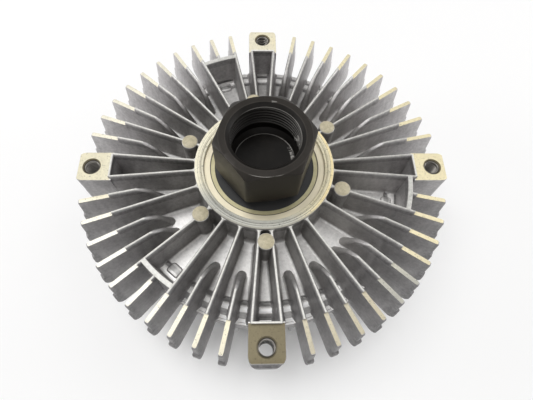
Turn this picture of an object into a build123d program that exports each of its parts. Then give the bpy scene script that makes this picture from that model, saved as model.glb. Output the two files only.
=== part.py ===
from build123d import *
import os
from math import cos, radians, tan

os.makedirs("parts", exist_ok=True)

# Viscous fan clutch, millimetres. The origin is on the spin axis in the plane of the four fan bolt
# lugs, +Z points to the hub nut, and the lugs lie on the X and Y axes.

# Fan mounting
bolt_circle = 130.0
lug_count = 4
bolt_tap_r = 2.5
lug_width = 12.0
lug_strip_width = 10.2
lug_inner_r = 57.2
lug_land_reach = 5.1
lug_reach = 6.0
lug_edge = 0.5
lug_corner = 3.4
rib_angle = 4.75

# Rear casting: fins
fins_per_quarter = 10
first_fin_angle = 12.187
machined_z = 0.0
machined_from_r = 58.0
cast_rise = 1.3
fin_crest = 0.76
fin_land = 1.5
fin_draft = 2.8
fin_depth = 16.3
fin_outer_r = 69.3
fin_corner = 0.95
fin_waist_drop = 9.6
fin_nub_drop = 13.6
fin_nub_slope = 0.3
fin_nub_step = 0.9
fin_foot_r = 71.2
fin_toe_round = 2.7
scoop_from_r = 48.3
scoop_bulge = 0.35
nose_r = 38.4
nose_width = 3.7
nose_slope = 60.0
nose_top_drop = 2.6
stub_from_r = 55.4

# Rear casting: ring, floor, rim and posts
ring_r = 26.3
ring_top_z = 2.1
ring_foot_r = 3.1
ring_edge = 0.4
floor_z = -11.0
floor_r = 48.9
floor_thickness = 4.0
bead_inner_r = 49.4
bead_outer_r = 54.6
bead_drop = 0.9
bead_rise = 1.0
rim_r = 57.4
rim_thickness = 1.0
rim_round = 0.5
rim_land_inner_r = 55.0
rim_land_outer_r = 56.4
rim_land_drop = 1.3
rim_step = 0.4
wall_r = 57.0
cross_rib_inner_r = 54.3
cross_rib_width = 2.2
post_r = 3.1
post_circle_r = 30.5
post_top_z = 1.5
post_edge = 0.4
pad_circle_r = 49.6
pad_length = 4.5
pad_width = 3.5
pad_round = 1.2
pad_rise = 0.3

# Ball bearing, 20 x 47 x 14
bearing_bore_r = 10.0
bearing_outer_r = 23.5
bearing_width = 14.0
bearing_rear_z = 0.7
bearing_edge = 0.5
ball_r = 3.97
ball_count = 8
ball_circle_r = 16.75
race_play = 0.08
outer_shoulder_r = 19.5
inner_shoulder_r = 14.4
seal_seat_r = 20.3
seal_seat_depth = 1.6
seal_drop = 0.3
seal_band_r = 18.7
seal_web = 0.8
seal_lip_play = 0.06
cage_inner_r = 15.3
cage_outer_r = 18.0
cage_rim = 0.6
ball_pocket_play = 0.15
bearing_lip_r = 20.5
roll_r = 22.85
roll_land_r = 24.0
roll_drop = 0.3

# Hub
hex_across_flats = 32.0
hex_bottom_z = 3.0
hex_top_z = 21.5
hex_turn = 9.0
hex_chamfer = 30.0
hub_collar_r = 13.4
thread_minor_r = 12.2
thread_mouth_r = 13.6
thread_mouth_depth = 1.4
thread_length = 9.0
relief_r = 13.0
socket_floor_z = 5.5
socket_floor_r = 11.2
rotor_seat_r = 8.5
hub_stub_play = 0.6

# Working chamber and rotor
rotor_play = 0.6
rotor_web = 2.4
rotor_r = 51.0
rotor_boss_r = 13.0
ridge_count = 5
ridge_pitch = 3.6
ridge_width = 1.4
ridge_height = 3.4
first_ridge_r = 33.5
flow_hole_r = 2.0
flow_hole_count = 6
flow_circle_r = 28.0

# Front cover
cover_seat_drop = 3.0
cover_flange = 4.2
cover_flange_r = 55.3
cover_side_play = 0.1
roll_lip = 1.5
roll_lip_thickness = 1.2
cover_skin = 3.5
cover_body_r = 53.0
seal_groove_r = 52.5
seal_width = 1.8
seal_height = 1.3
seal_play = 0.1
dome_r = 32.0
dome_foot_r = 35.0
dome_edge = 1.5
dome_skin = 3.5
reservoir_r = 25.5
reservoir_depth = 9.1
plate_rim = 1.9
cover_fin_count = 32
cover_fin_outer_r = 57.0
cover_fin_root_r = 33.0
cover_fin_tip_r = 37.0
cover_fin_tip = 1.4
cover_fin_draft = 1.8
cover_fin_height = 9.0
cover_fin_corner = 4.0
cover_fin_sink = 0.5

# Partition plate and valve
plate_r = 29.2
plate_edge_play = 0.2
plate_thickness = 1.2
plate_gap = 1.2
port_x = 17.0
port_r = 2.5
return_hole_r = 1.5
return_hole_circle_r = 22.0
return_hole_angle = 100.0
plate_screw_count = 3
plate_screw_circle_r = 27.2
plate_screw_angle = 40.0
plate_screw_r = 1.0
plate_screw_head_r = 1.9
plate_screw_length = 5.0
lever_width = 7.0
lever_thickness = 0.6
lever_root_x = -19.5
lever_end_x = 21.0
lever_gap = 0.05
rivet_x = -16.0
rivet_tail_r = 1.2
rivet_neck_r = 1.5
rivet_hole_play = 0.2
rivet_head_r = 2.6
rivet_head = 0.65
rivet_play = 0.3

# Control pin, bimetal strip and its holders
pin_r = 2.0
pin_play = 0.05
pin_round = 0.8
pin_touch = 0.1
pin_reach = 4.4
guide_boss_r = 6.5
guide_boss_height = 3.0
outer_boss_height = 1.4
ring_section_r = 0.75
ring_grip = 0.03
ring_groove_play = 0.05
strip_length = 52.0
strip_width = 14.0
strip_thickness = 1.0
strip_bow = 0.5
strip_travel = 0.8
holder_sheet = 1.2
holder_width = 18.0
holder_base = 8.8
holder_hook = 3.6
holder_end_play = 1.6
holder_slot_play = 0.2
holder_rivet_r = 1.2
holder_rivet_depth = 2.6
holder_rivet_head_r = 2.2
holder_rivet_head = 0.9
holder_rivet_spacing = 10.0
holder_rivet_inset = 3.2

# Levels and radii that follow from the sizes above
quarter = 360 / lug_count
bolt_r = bolt_circle / 2
lug_land_r = bolt_r + lug_land_reach
lug_outer_r = bolt_r + lug_reach
fin_pitch = (quarter - 2 * first_fin_angle) / (fins_per_quarter - 1)
cast_z = machined_z + cast_rise
fin_bottom_z = machined_z - fin_depth
ceiling_z = floor_z - floor_thickness
root_z = (floor_z + ceiling_z) / 2
root_r = (bearing_outer_r + ring_r) / 2
rim_land_z = floor_z - rim_land_drop
rim_z = rim_land_z - rim_step
bearing_front_z = bearing_rear_z - bearing_width
bearing_mid_z = bearing_rear_z - bearing_width / 2
groove_r = ball_r + race_play
seat_z = ceiling_z - cover_seat_drop
flange_front_z = seat_z - cover_flange
lip_bottom_z = flange_front_z - roll_lip_thickness
recess_r = cover_flange_r + cover_side_play
roll_lip_r = recess_r - roll_lip
chamber_r = rotor_r + rotor_play
wall_root_r = (chamber_r + wall_r) / 2
web_rear_z = ceiling_z - rotor_play
web_front_z = web_rear_z - rotor_web
ridge_tip_z = web_front_z - ridge_height
working_face_z = ridge_tip_z - rotor_play
cover_front_z = working_face_z - cover_skin
plate_rear_z = web_front_z - plate_gap
plate_front_z = plate_rear_z - plate_thickness
plate_recess_r = plate_r + plate_edge_play
shaft_end_z = plate_rear_z + hub_stub_play
reservoir_floor_z = plate_front_z - reservoir_depth
dome_z = reservoir_floor_z - dome_skin
boss_top_z = reservoir_floor_z + guide_boss_height
cover_tip_z = dome_z - cover_fin_height
lever_rear_z = plate_front_z - lever_gap
lever_front_z = lever_rear_z - lever_thickness
strip_rear_z = dome_z - pin_reach
strip_front_z = strip_rear_z - strip_thickness
slot_front_z = strip_front_z - strip_bow - strip_travel - holder_slot_play
holder_end_x = strip_length / 2 + holder_end_play + holder_sheet
rivet_x_out = holder_end_x - holder_base + holder_rivet_inset


def pattern(letter):
    """Angles of the fins with that letter: l long, s short, o stub, from the +X lug round to it."""
    layout = ("slslsslsls", "lolslslsls", "slsslolsls", "slslsslslo")
    return [
        quarter * turn + first_fin_angle + fin_pitch * place
        for turn, row in enumerate(layout)
        for place, mark in enumerate(row)
        if mark == letter
    ]


long_angles = pattern("l")
short_angles = pattern("s")
stub_angles = pattern("o")
lug_angles = [quarter * turn for turn in range(lug_count)]
rib_angles = [lug + side * rib_angle for lug in lug_angles for side in (-1, 1)]
post_angles = [34.4, 97.3, 160.5, 221.0, 270.4, 340.6]


def turned(angles):
    """Places on the axis, one turned by each angle."""
    return [Location((0, 0, 0), (0, 0, angle)) for angle in angles]


def half_width(z):
    """Half the thickness of a cast fin at height z below the machined plane."""
    return fin_land / 2 + (machined_z - z) * tan(radians(fin_draft))


def round_corners(sketch, radius, *corners):
    """Round the corners of a sketch that lie nearest to the given points."""
    for corner in corners:
        fillet(sketch.vertices().sort_by_distance(corner)[0], radius)


def side_outline(inner_r, land_r, edge, foot_r):
    """Side view of a fin or lug from inner_r out: crest, machined land to land_r, free end and foot."""
    nub_z = machined_z - fin_nub_drop
    toe_r = foot_r - fin_toe_round
    bulge = fin_toe_round * (1 - cos(radians(45)))
    Polyline(
        (wall_root_r, fin_bottom_z),
        (wall_root_r, root_z),
        (inner_r, root_z),
        (inner_r, cast_z),
        (machined_from_r, cast_z),
        (machined_from_r, machined_z),
        (land_r - edge, machined_z),
        (land_r, machined_z - edge),
        (foot_r - fin_nub_slope - fin_nub_step, machined_z - fin_waist_drop),
        (foot_r - fin_nub_slope, machined_z - fin_waist_drop - fin_nub_step),
        (foot_r, nub_z),
    )
    ThreePointArc((foot_r, nub_z), (foot_r - bulge, fin_bottom_z + bulge), (toe_r, fin_bottom_z))
    Line((toe_r, fin_bottom_z), (wall_root_r, fin_bottom_z))


def blade(inner_r):
    """A fin on the X axis, its side outline cut to the drafted thickness of the casting."""
    with BuildPart() as fin:
        with BuildSketch(Plane.XZ):
            with BuildLine():
                side_outline(inner_r, fin_outer_r, fin_corner, fin_foot_r)
            make_face()
        extrude(amount=fin_depth, both=True)
        with BuildSketch(Plane.YZ):
            with BuildLine():
                Polyline(
                    (-half_width(fin_bottom_z), fin_bottom_z),
                    (-fin_land / 2, machined_z),
                    (-fin_crest / 2, cast_z),
                    (fin_crest / 2, cast_z),
                    (fin_land / 2, machined_z),
                    (half_width(fin_bottom_z), fin_bottom_z),
                    close=True,
                )
            make_face()
        extrude(amount=fin_foot_r + 1, mode=Mode.INTERSECT)
    return fin.part


# Long fins run from the ring to the free end, and stub fins only stand outside a cross-rib
long_fin = blade(root_r)
stub_fin = blade(stub_from_r)


# Short fins: a scooped crest that runs down into a rounded nose on the floor
nose_top_z = machined_z - nose_top_drop
nose_foot = nose_width / 2


def nose_radius(z):
    """Radius of the nose in plan at height z."""
    return half_width(nose_top_z) + (nose_foot - half_width(nose_top_z)) * (
        (nose_top_z - z) / (nose_top_z - floor_z)
    )


def nose_centre(z):
    """Distance of the middle of the nose from the spin axis at height z."""
    return nose_r + (z - floor_z) / tan(radians(nose_slope)) + nose_radius(z)


with BuildPart() as short_fin:
    add(long_fin)
    scoop_top = (scoop_from_r, cast_z)
    scoop_end = (nose_centre(nose_top_z), nose_top_z + half_width(nose_top_z))
    scoop_mid = (
        (scoop_top[0] + scoop_end[0]) / 2 - scoop_bulge,
        (scoop_top[1] + scoop_end[1]) / 2 + scoop_bulge,
    )
    below_z = root_z - 1
    with BuildSketch(Plane.XZ):
        with BuildLine():
            ThreePointArc(scoop_top, scoop_mid, scoop_end)
            Polyline(
                scoop_end,
                (nose_centre(nose_top_z), nose_top_z),
                (nose_centre(below_z), below_z),
                (root_r - 1, below_z),
                (root_r - 1, cast_z + 1),
                (scoop_from_r, cast_z + 1),
                scoop_top,
            )
        make_face()
    extrude(amount=fin_depth, both=True, mode=Mode.SUBTRACT)
    with BuildSketch(Plane.XY.offset(root_z)):
        with Locations((nose_centre(root_z), 0)):
            Circle(nose_radius(root_z))
    with BuildSketch(Plane.XY.offset(nose_top_z)):
        with Locations((nose_centre(nose_top_z), 0)):
            Circle(nose_radius(nose_top_z))
    loft()

# Ribs from the ring to each lug
with BuildPart() as lug_rib:
    add(long_fin)
    split(bisect_by=Plane.YZ.offset((lug_inner_r + machined_from_r) / 2), keep=Keep.BOTTOM)

# Fan bolt lugs with their tapped holes and a narrow cast strip along the inner edge
with BuildPart() as lug:
    with BuildSketch(Plane.XZ):
        with BuildLine():
            side_outline(lug_inner_r, lug_land_r, lug_edge, lug_outer_r)
        make_face()
    extrude(amount=lug_width / 2, both=True)
    with BuildSketch(Plane.XY.offset(fin_bottom_z)) as lug_plan:
        with Locations((lug_outer_r, 0)):
            Rectangle(2 * (lug_outer_r - chamber_r), lug_width, align=(Align.MAX, Align.CENTER))
        round_corners(
            lug_plan, lug_corner, (lug_outer_r, lug_width / 2), (lug_outer_r, -lug_width / 2)
        )
    extrude(amount=fin_depth + cast_rise, mode=Mode.INTERSECT)
    with BuildSketch(Plane.XY.offset(machined_z)):
        with Locations(((lug_inner_r + machined_from_r) / 2, 0)):
            Rectangle(machined_from_r - lug_inner_r, lug_width)
            Rectangle(machined_from_r - lug_inner_r, lug_strip_width, mode=Mode.SUBTRACT)
    extrude(amount=cast_rise, mode=Mode.SUBTRACT)
    with Locations((bolt_r, 0, machined_z)):
        Hole(bolt_tap_r, depth=fin_depth)

# Cross-ribs between two long fins, with a small pad on the floor inside each
with BuildPart() as cross_rib:
    cross_rib_outer_r = cross_rib_inner_r + cross_rib_width
    flare = (cast_z - root_z) * tan(radians(fin_draft))
    with BuildSketch(Plane.XZ):
        with BuildLine():
            Polyline(
                (cross_rib_inner_r - flare, root_z),
                (cross_rib_inner_r, cast_z),
                (cross_rib_outer_r, cast_z),
                (cross_rib_outer_r + flare, root_z),
                close=True,
            )
        make_face()
    revolve(axis=Axis.Z, revolution_arc=2 * fin_pitch)

with BuildPart() as floor_pad:
    with BuildSketch(Plane.XY.offset(root_z)):
        with Locations((pad_circle_r, 0)):
            RectangleRounded(pad_width, pad_length, pad_round)
    extrude(amount=floor_z + pad_rise - root_z)

with BuildPart() as post:
    with BuildSketch(Plane.XY.offset(root_z)):
        with Locations((post_circle_r, 0)):
            Circle(post_r)
    extrude(amount=post_top_z - root_z)
    chamfer(post.edges().filter_by(GeomType.CIRCLE).sort_by(Axis.Z)[-1], post_edge)

# Rear housing: the turned body of the casting, then everything that stands on it
with BuildPart() as rear_housing:
    with BuildSketch(Plane.XZ) as housing_section:
        bead_z = floor_z - bead_drop
        with BuildLine():
            Polyline(
                (bead_inner_r, bead_z),
                (floor_r, bead_z),
                (floor_r, floor_z),
                (ring_r, floor_z),
                (ring_r, ring_top_z),
                (roll_land_r, ring_top_z),
                (roll_land_r - roll_drop, ring_top_z - roll_drop),
                (roll_r, ring_top_z - roll_drop),
                (roll_r, bearing_rear_z),
                (bearing_outer_r, bearing_rear_z),
                (bearing_outer_r, bearing_front_z),
                (bearing_lip_r, bearing_front_z),
                (bearing_lip_r, ceiling_z),
                (chamber_r, ceiling_z),
                (chamber_r, seat_z),
                (recess_r, seat_z),
                (recess_r, flange_front_z),
                (roll_lip_r, flange_front_z),
                (roll_lip_r, lip_bottom_z),
                (wall_r, lip_bottom_z),
                (wall_r, rim_z - rim_thickness),
                (rim_r, rim_z - rim_thickness),
                (rim_r, rim_z),
                (rim_land_outer_r, rim_z),
                (rim_land_outer_r, rim_land_z),
                (rim_land_inner_r, rim_land_z),
                (rim_land_inner_r, bead_z),
                (bead_outer_r, bead_z),
            )
            ThreePointArc(
                (bead_outer_r, bead_z),
                ((bead_inner_r + bead_outer_r) / 2, bead_z + bead_rise),
                (bead_inner_r, bead_z),
            )
        make_face()
        round_corners(housing_section, ring_foot_r, (ring_r, floor_z))
        round_corners(housing_section, ring_edge, (ring_r, ring_top_z))
        round_corners(housing_section, rim_round, (rim_r, rim_z))
    revolve(axis=Axis.Z)
    with Locations(turned(long_angles)):
        add(long_fin)
    with Locations(turned(short_angles)):
        add(short_fin.part)
    with Locations(turned(stub_angles)):
        add(stub_fin)
        add(floor_pad.part)
    with Locations(turned([angle - fin_pitch for angle in stub_angles])):
        add(cross_rib.part)
    with Locations(turned(rib_angles)):
        add(lug_rib.part)
    with Locations(turned(lug_angles)):
        add(lug.part)
    with Locations(turned(post_angles)):
        add(post.part)
rear_housing.part.label = "rear_housing"
export_step(rear_housing.part, "parts/rear_housing.step")

# Bearing outer ring
groove_half = (groove_r**2 - (outer_shoulder_r - ball_circle_r) ** 2) ** 0.5
with BuildPart() as bearing_outer_ring:
    with BuildSketch(Plane.XZ) as outer_ring_section:
        with BuildLine():
            Polyline(
                (outer_shoulder_r, bearing_mid_z - groove_half),
                (outer_shoulder_r, bearing_front_z + seal_seat_depth),
                (seal_seat_r, bearing_front_z + seal_seat_depth),
                (seal_seat_r, bearing_front_z),
                (bearing_outer_r, bearing_front_z),
                (bearing_outer_r, bearing_rear_z),
                (seal_seat_r, bearing_rear_z),
                (seal_seat_r, bearing_rear_z - seal_seat_depth),
                (outer_shoulder_r, bearing_rear_z - seal_seat_depth),
                (outer_shoulder_r, bearing_mid_z + groove_half),
            )
            ThreePointArc(
                (outer_shoulder_r, bearing_mid_z + groove_half),
                (ball_circle_r + groove_r, bearing_mid_z),
                (outer_shoulder_r, bearing_mid_z - groove_half),
            )
        make_face()
        chamfer(outer_ring_section.vertices().sort_by(Axis.X)[-2:], bearing_edge)
    revolve(axis=Axis.Z)
bearing_outer_ring.part.label = "bearing_outer_ring"
export_step(bearing_outer_ring.part, "parts/bearing_outer_ring.step")

# Bearing inner ring
inner_groove_half = (groove_r**2 - (ball_circle_r - inner_shoulder_r) ** 2) ** 0.5
with BuildPart() as bearing_inner_ring:
    with BuildSketch(Plane.XZ):
        with BuildLine():
            Polyline(
                (inner_shoulder_r, bearing_mid_z + inner_groove_half),
                (inner_shoulder_r, bearing_rear_z),
                (bearing_bore_r, bearing_rear_z),
                (bearing_bore_r, bearing_front_z),
                (inner_shoulder_r, bearing_front_z),
                (inner_shoulder_r, bearing_mid_z - inner_groove_half),
            )
            ThreePointArc(
                (inner_shoulder_r, bearing_mid_z - inner_groove_half),
                (ball_circle_r - groove_r, bearing_mid_z),
                (inner_shoulder_r, bearing_mid_z + inner_groove_half),
            )
        make_face()
    revolve(axis=Axis.Z)
bearing_inner_ring.part.label = "bearing_inner_ring"
export_step(bearing_inner_ring.part, "parts/bearing_inner_ring.step")

# Bearing balls
with BuildPart() as bearing_balls:
    with Locations((0, 0, bearing_mid_z)):
        with PolarLocations(ball_circle_r, ball_count):
            Sphere(ball_r)
bearing_balls.part.label = "bearing_balls"
export_step(bearing_balls.part, "parts/bearing_balls.step")

# Bearing cage, a ring with one round pocket for each ball
with BuildPart() as bearing_cage:
    pocket_r = ball_r + ball_pocket_play
    with BuildSketch(Plane.XY.offset(bearing_mid_z)):
        Circle(cage_outer_r)
        Circle(cage_inner_r, mode=Mode.SUBTRACT)
    extrude(amount=pocket_r + cage_rim, both=True)
    with Locations((0, 0, bearing_mid_z)):
        with PolarLocations(ball_circle_r, ball_count):
            Cylinder(pocket_r, 2 * (cage_outer_r - cage_inner_r), rotation=(0, 90, 0), mode=Mode.SUBTRACT)
bearing_cage.part.label = "bearing_cage"
export_step(bearing_cage.part, "parts/bearing_cage.step")


def seal_outline(face_z, side):
    """Section of a bearing seal: a banded rim in the ring's seat and a web to the inner ring."""
    rim_thick = seal_seat_depth - seal_drop
    web_z = face_z - side * (rim_thick - seal_web) / 2
    Polyline(
        (seal_seat_r, face_z),
        (seal_band_r, face_z),
        (seal_band_r, web_z),
        (inner_shoulder_r + seal_lip_play, web_z),
        (inner_shoulder_r + seal_lip_play, web_z - side * seal_web),
        (seal_band_r, web_z - side * seal_web),
        (seal_band_r, face_z - side * rim_thick),
        (seal_seat_r, face_z - side * rim_thick),
        close=True,
    )


# Bearing seals, one on each side
with BuildPart() as bearing_rear_seal:
    with BuildSketch(Plane.XZ):
        with BuildLine():
            seal_outline(bearing_rear_z - seal_drop, 1)
        make_face()
    revolve(axis=Axis.Z)
bearing_rear_seal.part.label = "bearing_rear_seal"
export_step(bearing_rear_seal.part, "parts/bearing_rear_seal.step")

with BuildPart() as bearing_front_seal:
    with BuildSketch(Plane.XZ):
        with BuildLine():
            seal_outline(bearing_front_z + seal_drop, -1)
        make_face()
    revolve(axis=Axis.Z)
bearing_front_seal.part.label = "bearing_front_seal"
export_step(bearing_front_seal.part, "parts/bearing_front_seal.step")

# Drive hub: nut head with a tapped mouth, collar, bearing shaft and rotor seat in one piece
with BuildPart() as drive_hub:
    hex_corner_r = hex_across_flats / 3**0.5
    chamfer_drop = (hex_corner_r - hex_across_flats / 2) * tan(radians(hex_chamfer))
    with BuildSketch(Plane.XY.offset(hex_bottom_z)):
        RegularPolygon(hex_corner_r, 6, rotation=hex_turn)
    extrude(amount=hex_top_z - hex_bottom_z)
    with BuildSketch(Plane.XZ):
        with BuildLine():
            Polyline(
                (0, hex_bottom_z),
                (hex_across_flats / 2, hex_bottom_z),
                (hex_corner_r, hex_bottom_z + chamfer_drop),
                (hex_corner_r, hex_top_z - chamfer_drop),
                (hex_across_flats / 2, hex_top_z),
                (0, hex_top_z),
                close=True,
            )
        make_face()
    revolve(axis=Axis.Z, mode=Mode.INTERSECT)
    with BuildSketch(Plane.XZ):
        with BuildLine():
            Polyline(
                (0, hex_bottom_z),
                (hub_collar_r, hex_bottom_z),
                (hub_collar_r, bearing_rear_z),
                (bearing_bore_r, bearing_rear_z),
                (bearing_bore_r, bearing_front_z),
                (rotor_seat_r, bearing_front_z),
                (rotor_seat_r, shaft_end_z),
                (0, shaft_end_z),
                close=True,
            )
        make_face()
    revolve(axis=Axis.Z)
    thread_top_z = hex_top_z - thread_mouth_depth
    thread_end_z = thread_top_z - thread_length
    with BuildSketch(Plane.XZ):
        with BuildLine():
            Polyline(
                (0, socket_floor_z),
                (socket_floor_r, socket_floor_z),
                (relief_r, socket_floor_z + relief_r - socket_floor_r),
                (relief_r, thread_end_z - (relief_r - thread_minor_r)),
                (thread_minor_r, thread_end_z),
                (thread_minor_r, thread_top_z),
                (thread_mouth_r, hex_top_z),
                (0, hex_top_z),
                close=True,
            )
        make_face()
    revolve(axis=Axis.Z, mode=Mode.SUBTRACT)
drive_hub.part.label = "drive_hub"
export_step(drive_hub.part, "parts/drive_hub.step")

# Rotor: a disc on the end of the shaft, with ring ridges on its front face
with BuildPart() as rotor:
    with BuildSketch(Plane.XZ):
        with BuildLine():
            Polyline(
                (rotor_seat_r, bearing_front_z),
                (rotor_boss_r, bearing_front_z),
                (rotor_boss_r, web_rear_z),
                (rotor_r, web_rear_z),
                (rotor_r, web_front_z),
                (rotor_boss_r, web_front_z),
                (rotor_boss_r, shaft_end_z),
                (rotor_seat_r, shaft_end_z),
                close=True,
            )
        make_face()
        for ridge in range(ridge_count):
            with Locations((first_ridge_r + ridge * ridge_pitch, ridge_tip_z)):
                Rectangle(
                    ridge_width,
                    ridge_height + rotor_web / 2,
                    align=(Align.CENTER, Align.MIN),
                )
    revolve(axis=Axis.Z)
    with Locations((0, 0, web_front_z)):
        with PolarLocations(flow_circle_r, flow_hole_count):
            Cylinder(flow_hole_r, 3 * rotor_web, mode=Mode.SUBTRACT)
rotor.part.label = "rotor"
export_step(rotor.part, "parts/rotor.step")

# Front cover: turned body with ring ridges between the rotor's, reservoir, dome and pin guide
with BuildPart() as cover_fin:
    with BuildSketch(Plane.XZ) as cover_fin_side:
        fin_top_z = cover_front_z + cover_fin_sink
        with BuildLine():
            Polyline(
                (cover_fin_root_r - cover_fin_sink, fin_top_z),
                (cover_fin_outer_r, fin_top_z),
                (cover_fin_outer_r, cover_tip_z),
                (cover_fin_tip_r, cover_tip_z),
                (cover_fin_root_r - cover_fin_sink, dome_z + dome_edge),
                close=True,
            )
        make_face()
        round_corners(cover_fin_side, cover_fin_corner, (cover_fin_outer_r, cover_tip_z))
    extrude(amount=cover_fin_height, both=True)
    spread = cover_fin_tip / 2 + (fin_top_z - cover_tip_z) * tan(radians(cover_fin_draft))
    with BuildSketch(Plane.YZ):
        with BuildLine():
            Polyline(
                (-spread, fin_top_z),
                (spread, fin_top_z),
                (cover_fin_tip / 2, cover_tip_z),
                (-cover_fin_tip / 2, cover_tip_z),
                close=True,
            )
        make_face()
    extrude(amount=cover_fin_outer_r + 1, mode=Mode.INTERSECT)

plate_screw_angles = [plate_screw_angle + 360 / plate_screw_count * step for step in range(plate_screw_count)]
with BuildPart() as front_cover:
    with BuildSketch(Plane.XZ) as cover_section:
        with BuildLine():
            Polyline(
                (pin_r + pin_play, boss_top_z),
                (guide_boss_r, boss_top_z),
                (guide_boss_r, reservoir_floor_z),
                (reservoir_r, reservoir_floor_z),
                (reservoir_r, plate_front_z),
                (plate_recess_r, plate_front_z),
                (plate_recess_r, web_front_z - rotor_play),
                (plate_recess_r + plate_rim, web_front_z - rotor_play),
                (plate_recess_r + plate_rim, working_face_z),
                (chamber_r, working_face_z),
                (chamber_r, seat_z),
                (seal_groove_r, seat_z),
                (seal_groove_r, seat_z - seal_height),
                (seal_groove_r + seal_width, seat_z - seal_height),
                (seal_groove_r + seal_width, seat_z),
                (cover_flange_r, seat_z),
                (cover_flange_r, flange_front_z),
                (cover_body_r, flange_front_z),
                (cover_body_r, cover_front_z),
                (dome_foot_r, cover_front_z),
                (dome_r, dome_z),
                (guide_boss_r, dome_z),
                (guide_boss_r, dome_z - outer_boss_height),
                (pin_r + pin_play, dome_z - outer_boss_height),
                close=True,
            )
        make_face()
        round_corners(cover_section, dome_edge, (dome_r, dome_z))
        for gap in range(ridge_count - 1):
            ridge_mid_r = first_ridge_r + (gap + 0.5) * ridge_pitch
            with Locations((ridge_mid_r, (working_face_z + cover_front_z) / 2)):
                Rectangle(
                    ridge_width,
                    web_front_z - rotor_play - (working_face_z + cover_front_z) / 2,
                    align=(Align.CENTER, Align.MIN),
                )
        with Locations((ring_section_r + pin_r + ring_grip, (boss_top_z + dome_z) / 2)):
            Rectangle(
                2 * (ring_section_r + ring_groove_play),
                2 * (ring_section_r + ring_groove_play),
                mode=Mode.SUBTRACT,
            )
    revolve(axis=Axis.Z)
    with PolarLocations(0, cover_fin_count):
        add(cover_fin.part)
    with Locations(turned(plate_screw_angles)):
        with Locations((plate_screw_circle_r, 0, plate_front_z)):
            Hole(plate_screw_r, depth=plate_screw_length - plate_thickness)
    with Locations((rivet_x_out, 0, dome_z), (-rivet_x_out, 0, dome_z)):
        with GridLocations(0, holder_rivet_spacing, 1, 2):
            Cylinder(
                holder_rivet_r,
                holder_rivet_depth,
                align=(Align.CENTER, Align.CENTER, Align.MIN),
                mode=Mode.SUBTRACT,
            )
front_cover.part.label = "front_cover"
export_step(front_cover.part, "parts/front_cover.step")

# Cover seal, a square rubber ring between the two castings
with BuildPart() as cover_seal:
    with BuildSketch(Plane.XY.offset(seat_z)):
        Circle(seal_groove_r + seal_width - seal_play)
        Circle(seal_groove_r + seal_play, mode=Mode.SUBTRACT)
    extrude(amount=-seal_height)
cover_seal.part.label = "cover_seal"
export_step(cover_seal.part, "parts/cover_seal.step")

# Partition plate with its port, return hole, rivet hole and countersunk screw holes
with BuildPart() as partition_plate:
    with BuildSketch(Plane.XY.offset(plate_front_z)):
        Circle(plate_r)
        with Locations((port_x, 0)):
            Circle(port_r, mode=Mode.SUBTRACT)
        with Locations((rivet_x, 0)):
            Circle(rivet_tail_r, mode=Mode.SUBTRACT)
        with PolarLocations(return_hole_circle_r, 1, start_angle=return_hole_angle):
            Circle(return_hole_r, mode=Mode.SUBTRACT)
    extrude(amount=plate_thickness)
    with Locations(turned(plate_screw_angles)):
        with Locations((plate_screw_circle_r, 0, plate_rear_z)):
            CounterSinkHole(
                plate_screw_r, plate_screw_head_r, depth=plate_thickness, counter_sink_angle=90
            )
partition_plate.part.label = "partition_plate"
export_step(partition_plate.part, "parts/partition_plate.step")

# Partition screws, countersunk, flush with the plate
with BuildPart() as screw:
    with BuildSketch(Plane.XZ):
        with BuildLine():
            Polyline(
                (0, plate_rear_z),
                (plate_screw_head_r, plate_rear_z),
                (plate_screw_r, plate_rear_z - (plate_screw_head_r - plate_screw_r)),
                (plate_screw_r, plate_rear_z - plate_screw_length),
                (0, plate_rear_z - plate_screw_length),
                close=True,
            )
        make_face()
    revolve(axis=Axis.Z)

with BuildPart() as partition_screws:
    with Locations(turned(plate_screw_angles)):
        with Locations((plate_screw_circle_r, 0, 0)):
            add(screw.part)
partition_screws.part.label = "partition_screws"
export_step(partition_screws.part, "parts/partition_screws.step")

# Valve lever, the leaf that covers the port and swings from its root
with BuildPart() as valve_lever:
    with BuildSketch(Plane.XY.offset(lever_rear_z)):
        with Locations(((lever_root_x + lever_end_x) / 2, 0)):
            SlotOverall(lever_end_x - lever_root_x, lever_width)
        with Locations((rivet_x, 0)):
            Circle(rivet_neck_r + rivet_hole_play, mode=Mode.SUBTRACT)
    extrude(amount=-lever_thickness)
valve_lever.part.label = "valve_lever"
export_step(valve_lever.part, "parts/valve_lever.step")

# Valve rivet: tail in the plate, neck through the lever, head below it
with BuildPart() as valve_rivet:
    head_z = lever_front_z - rivet_play
    with Locations((rivet_x, 0, plate_front_z)):
        Cylinder(rivet_tail_r, plate_thickness, align=(Align.CENTER, Align.CENTER, Align.MIN))
        Cylinder(rivet_neck_r, plate_front_z - head_z, align=(Align.CENTER, Align.CENTER, Align.MAX))
    with Locations((rivet_x, 0, head_z)):
        Cylinder(rivet_head_r, rivet_head, align=(Align.CENTER, Align.CENTER, Align.MAX))
valve_rivet.part.label = "valve_rivet"
export_step(valve_rivet.part, "parts/valve_rivet.step")

# Control pin, with a rounded inner end that pushes the lever
with BuildPart() as control_pin:
    with BuildSketch(Plane.XY.offset(strip_rear_z)):
        Circle(pin_r)
    extrude(amount=lever_front_z - pin_touch - strip_rear_z)
    fillet(control_pin.edges().filter_by(GeomType.CIRCLE).sort_by(Axis.Z)[-1], pin_round)
control_pin.part.label = "control_pin"
export_step(control_pin.part, "parts/control_pin.step")

# Control pin seal, a rubber ring in the groove of the pin guide
with BuildPart() as control_pin_seal:
    with Locations((0, 0, (boss_top_z + dome_z) / 2)):
        Torus(pin_r + ring_grip + ring_section_r, ring_section_r)
control_pin_seal.part.label = "control_pin_seal"
export_step(control_pin_seal.part, "parts/control_pin_seal.step")

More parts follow.
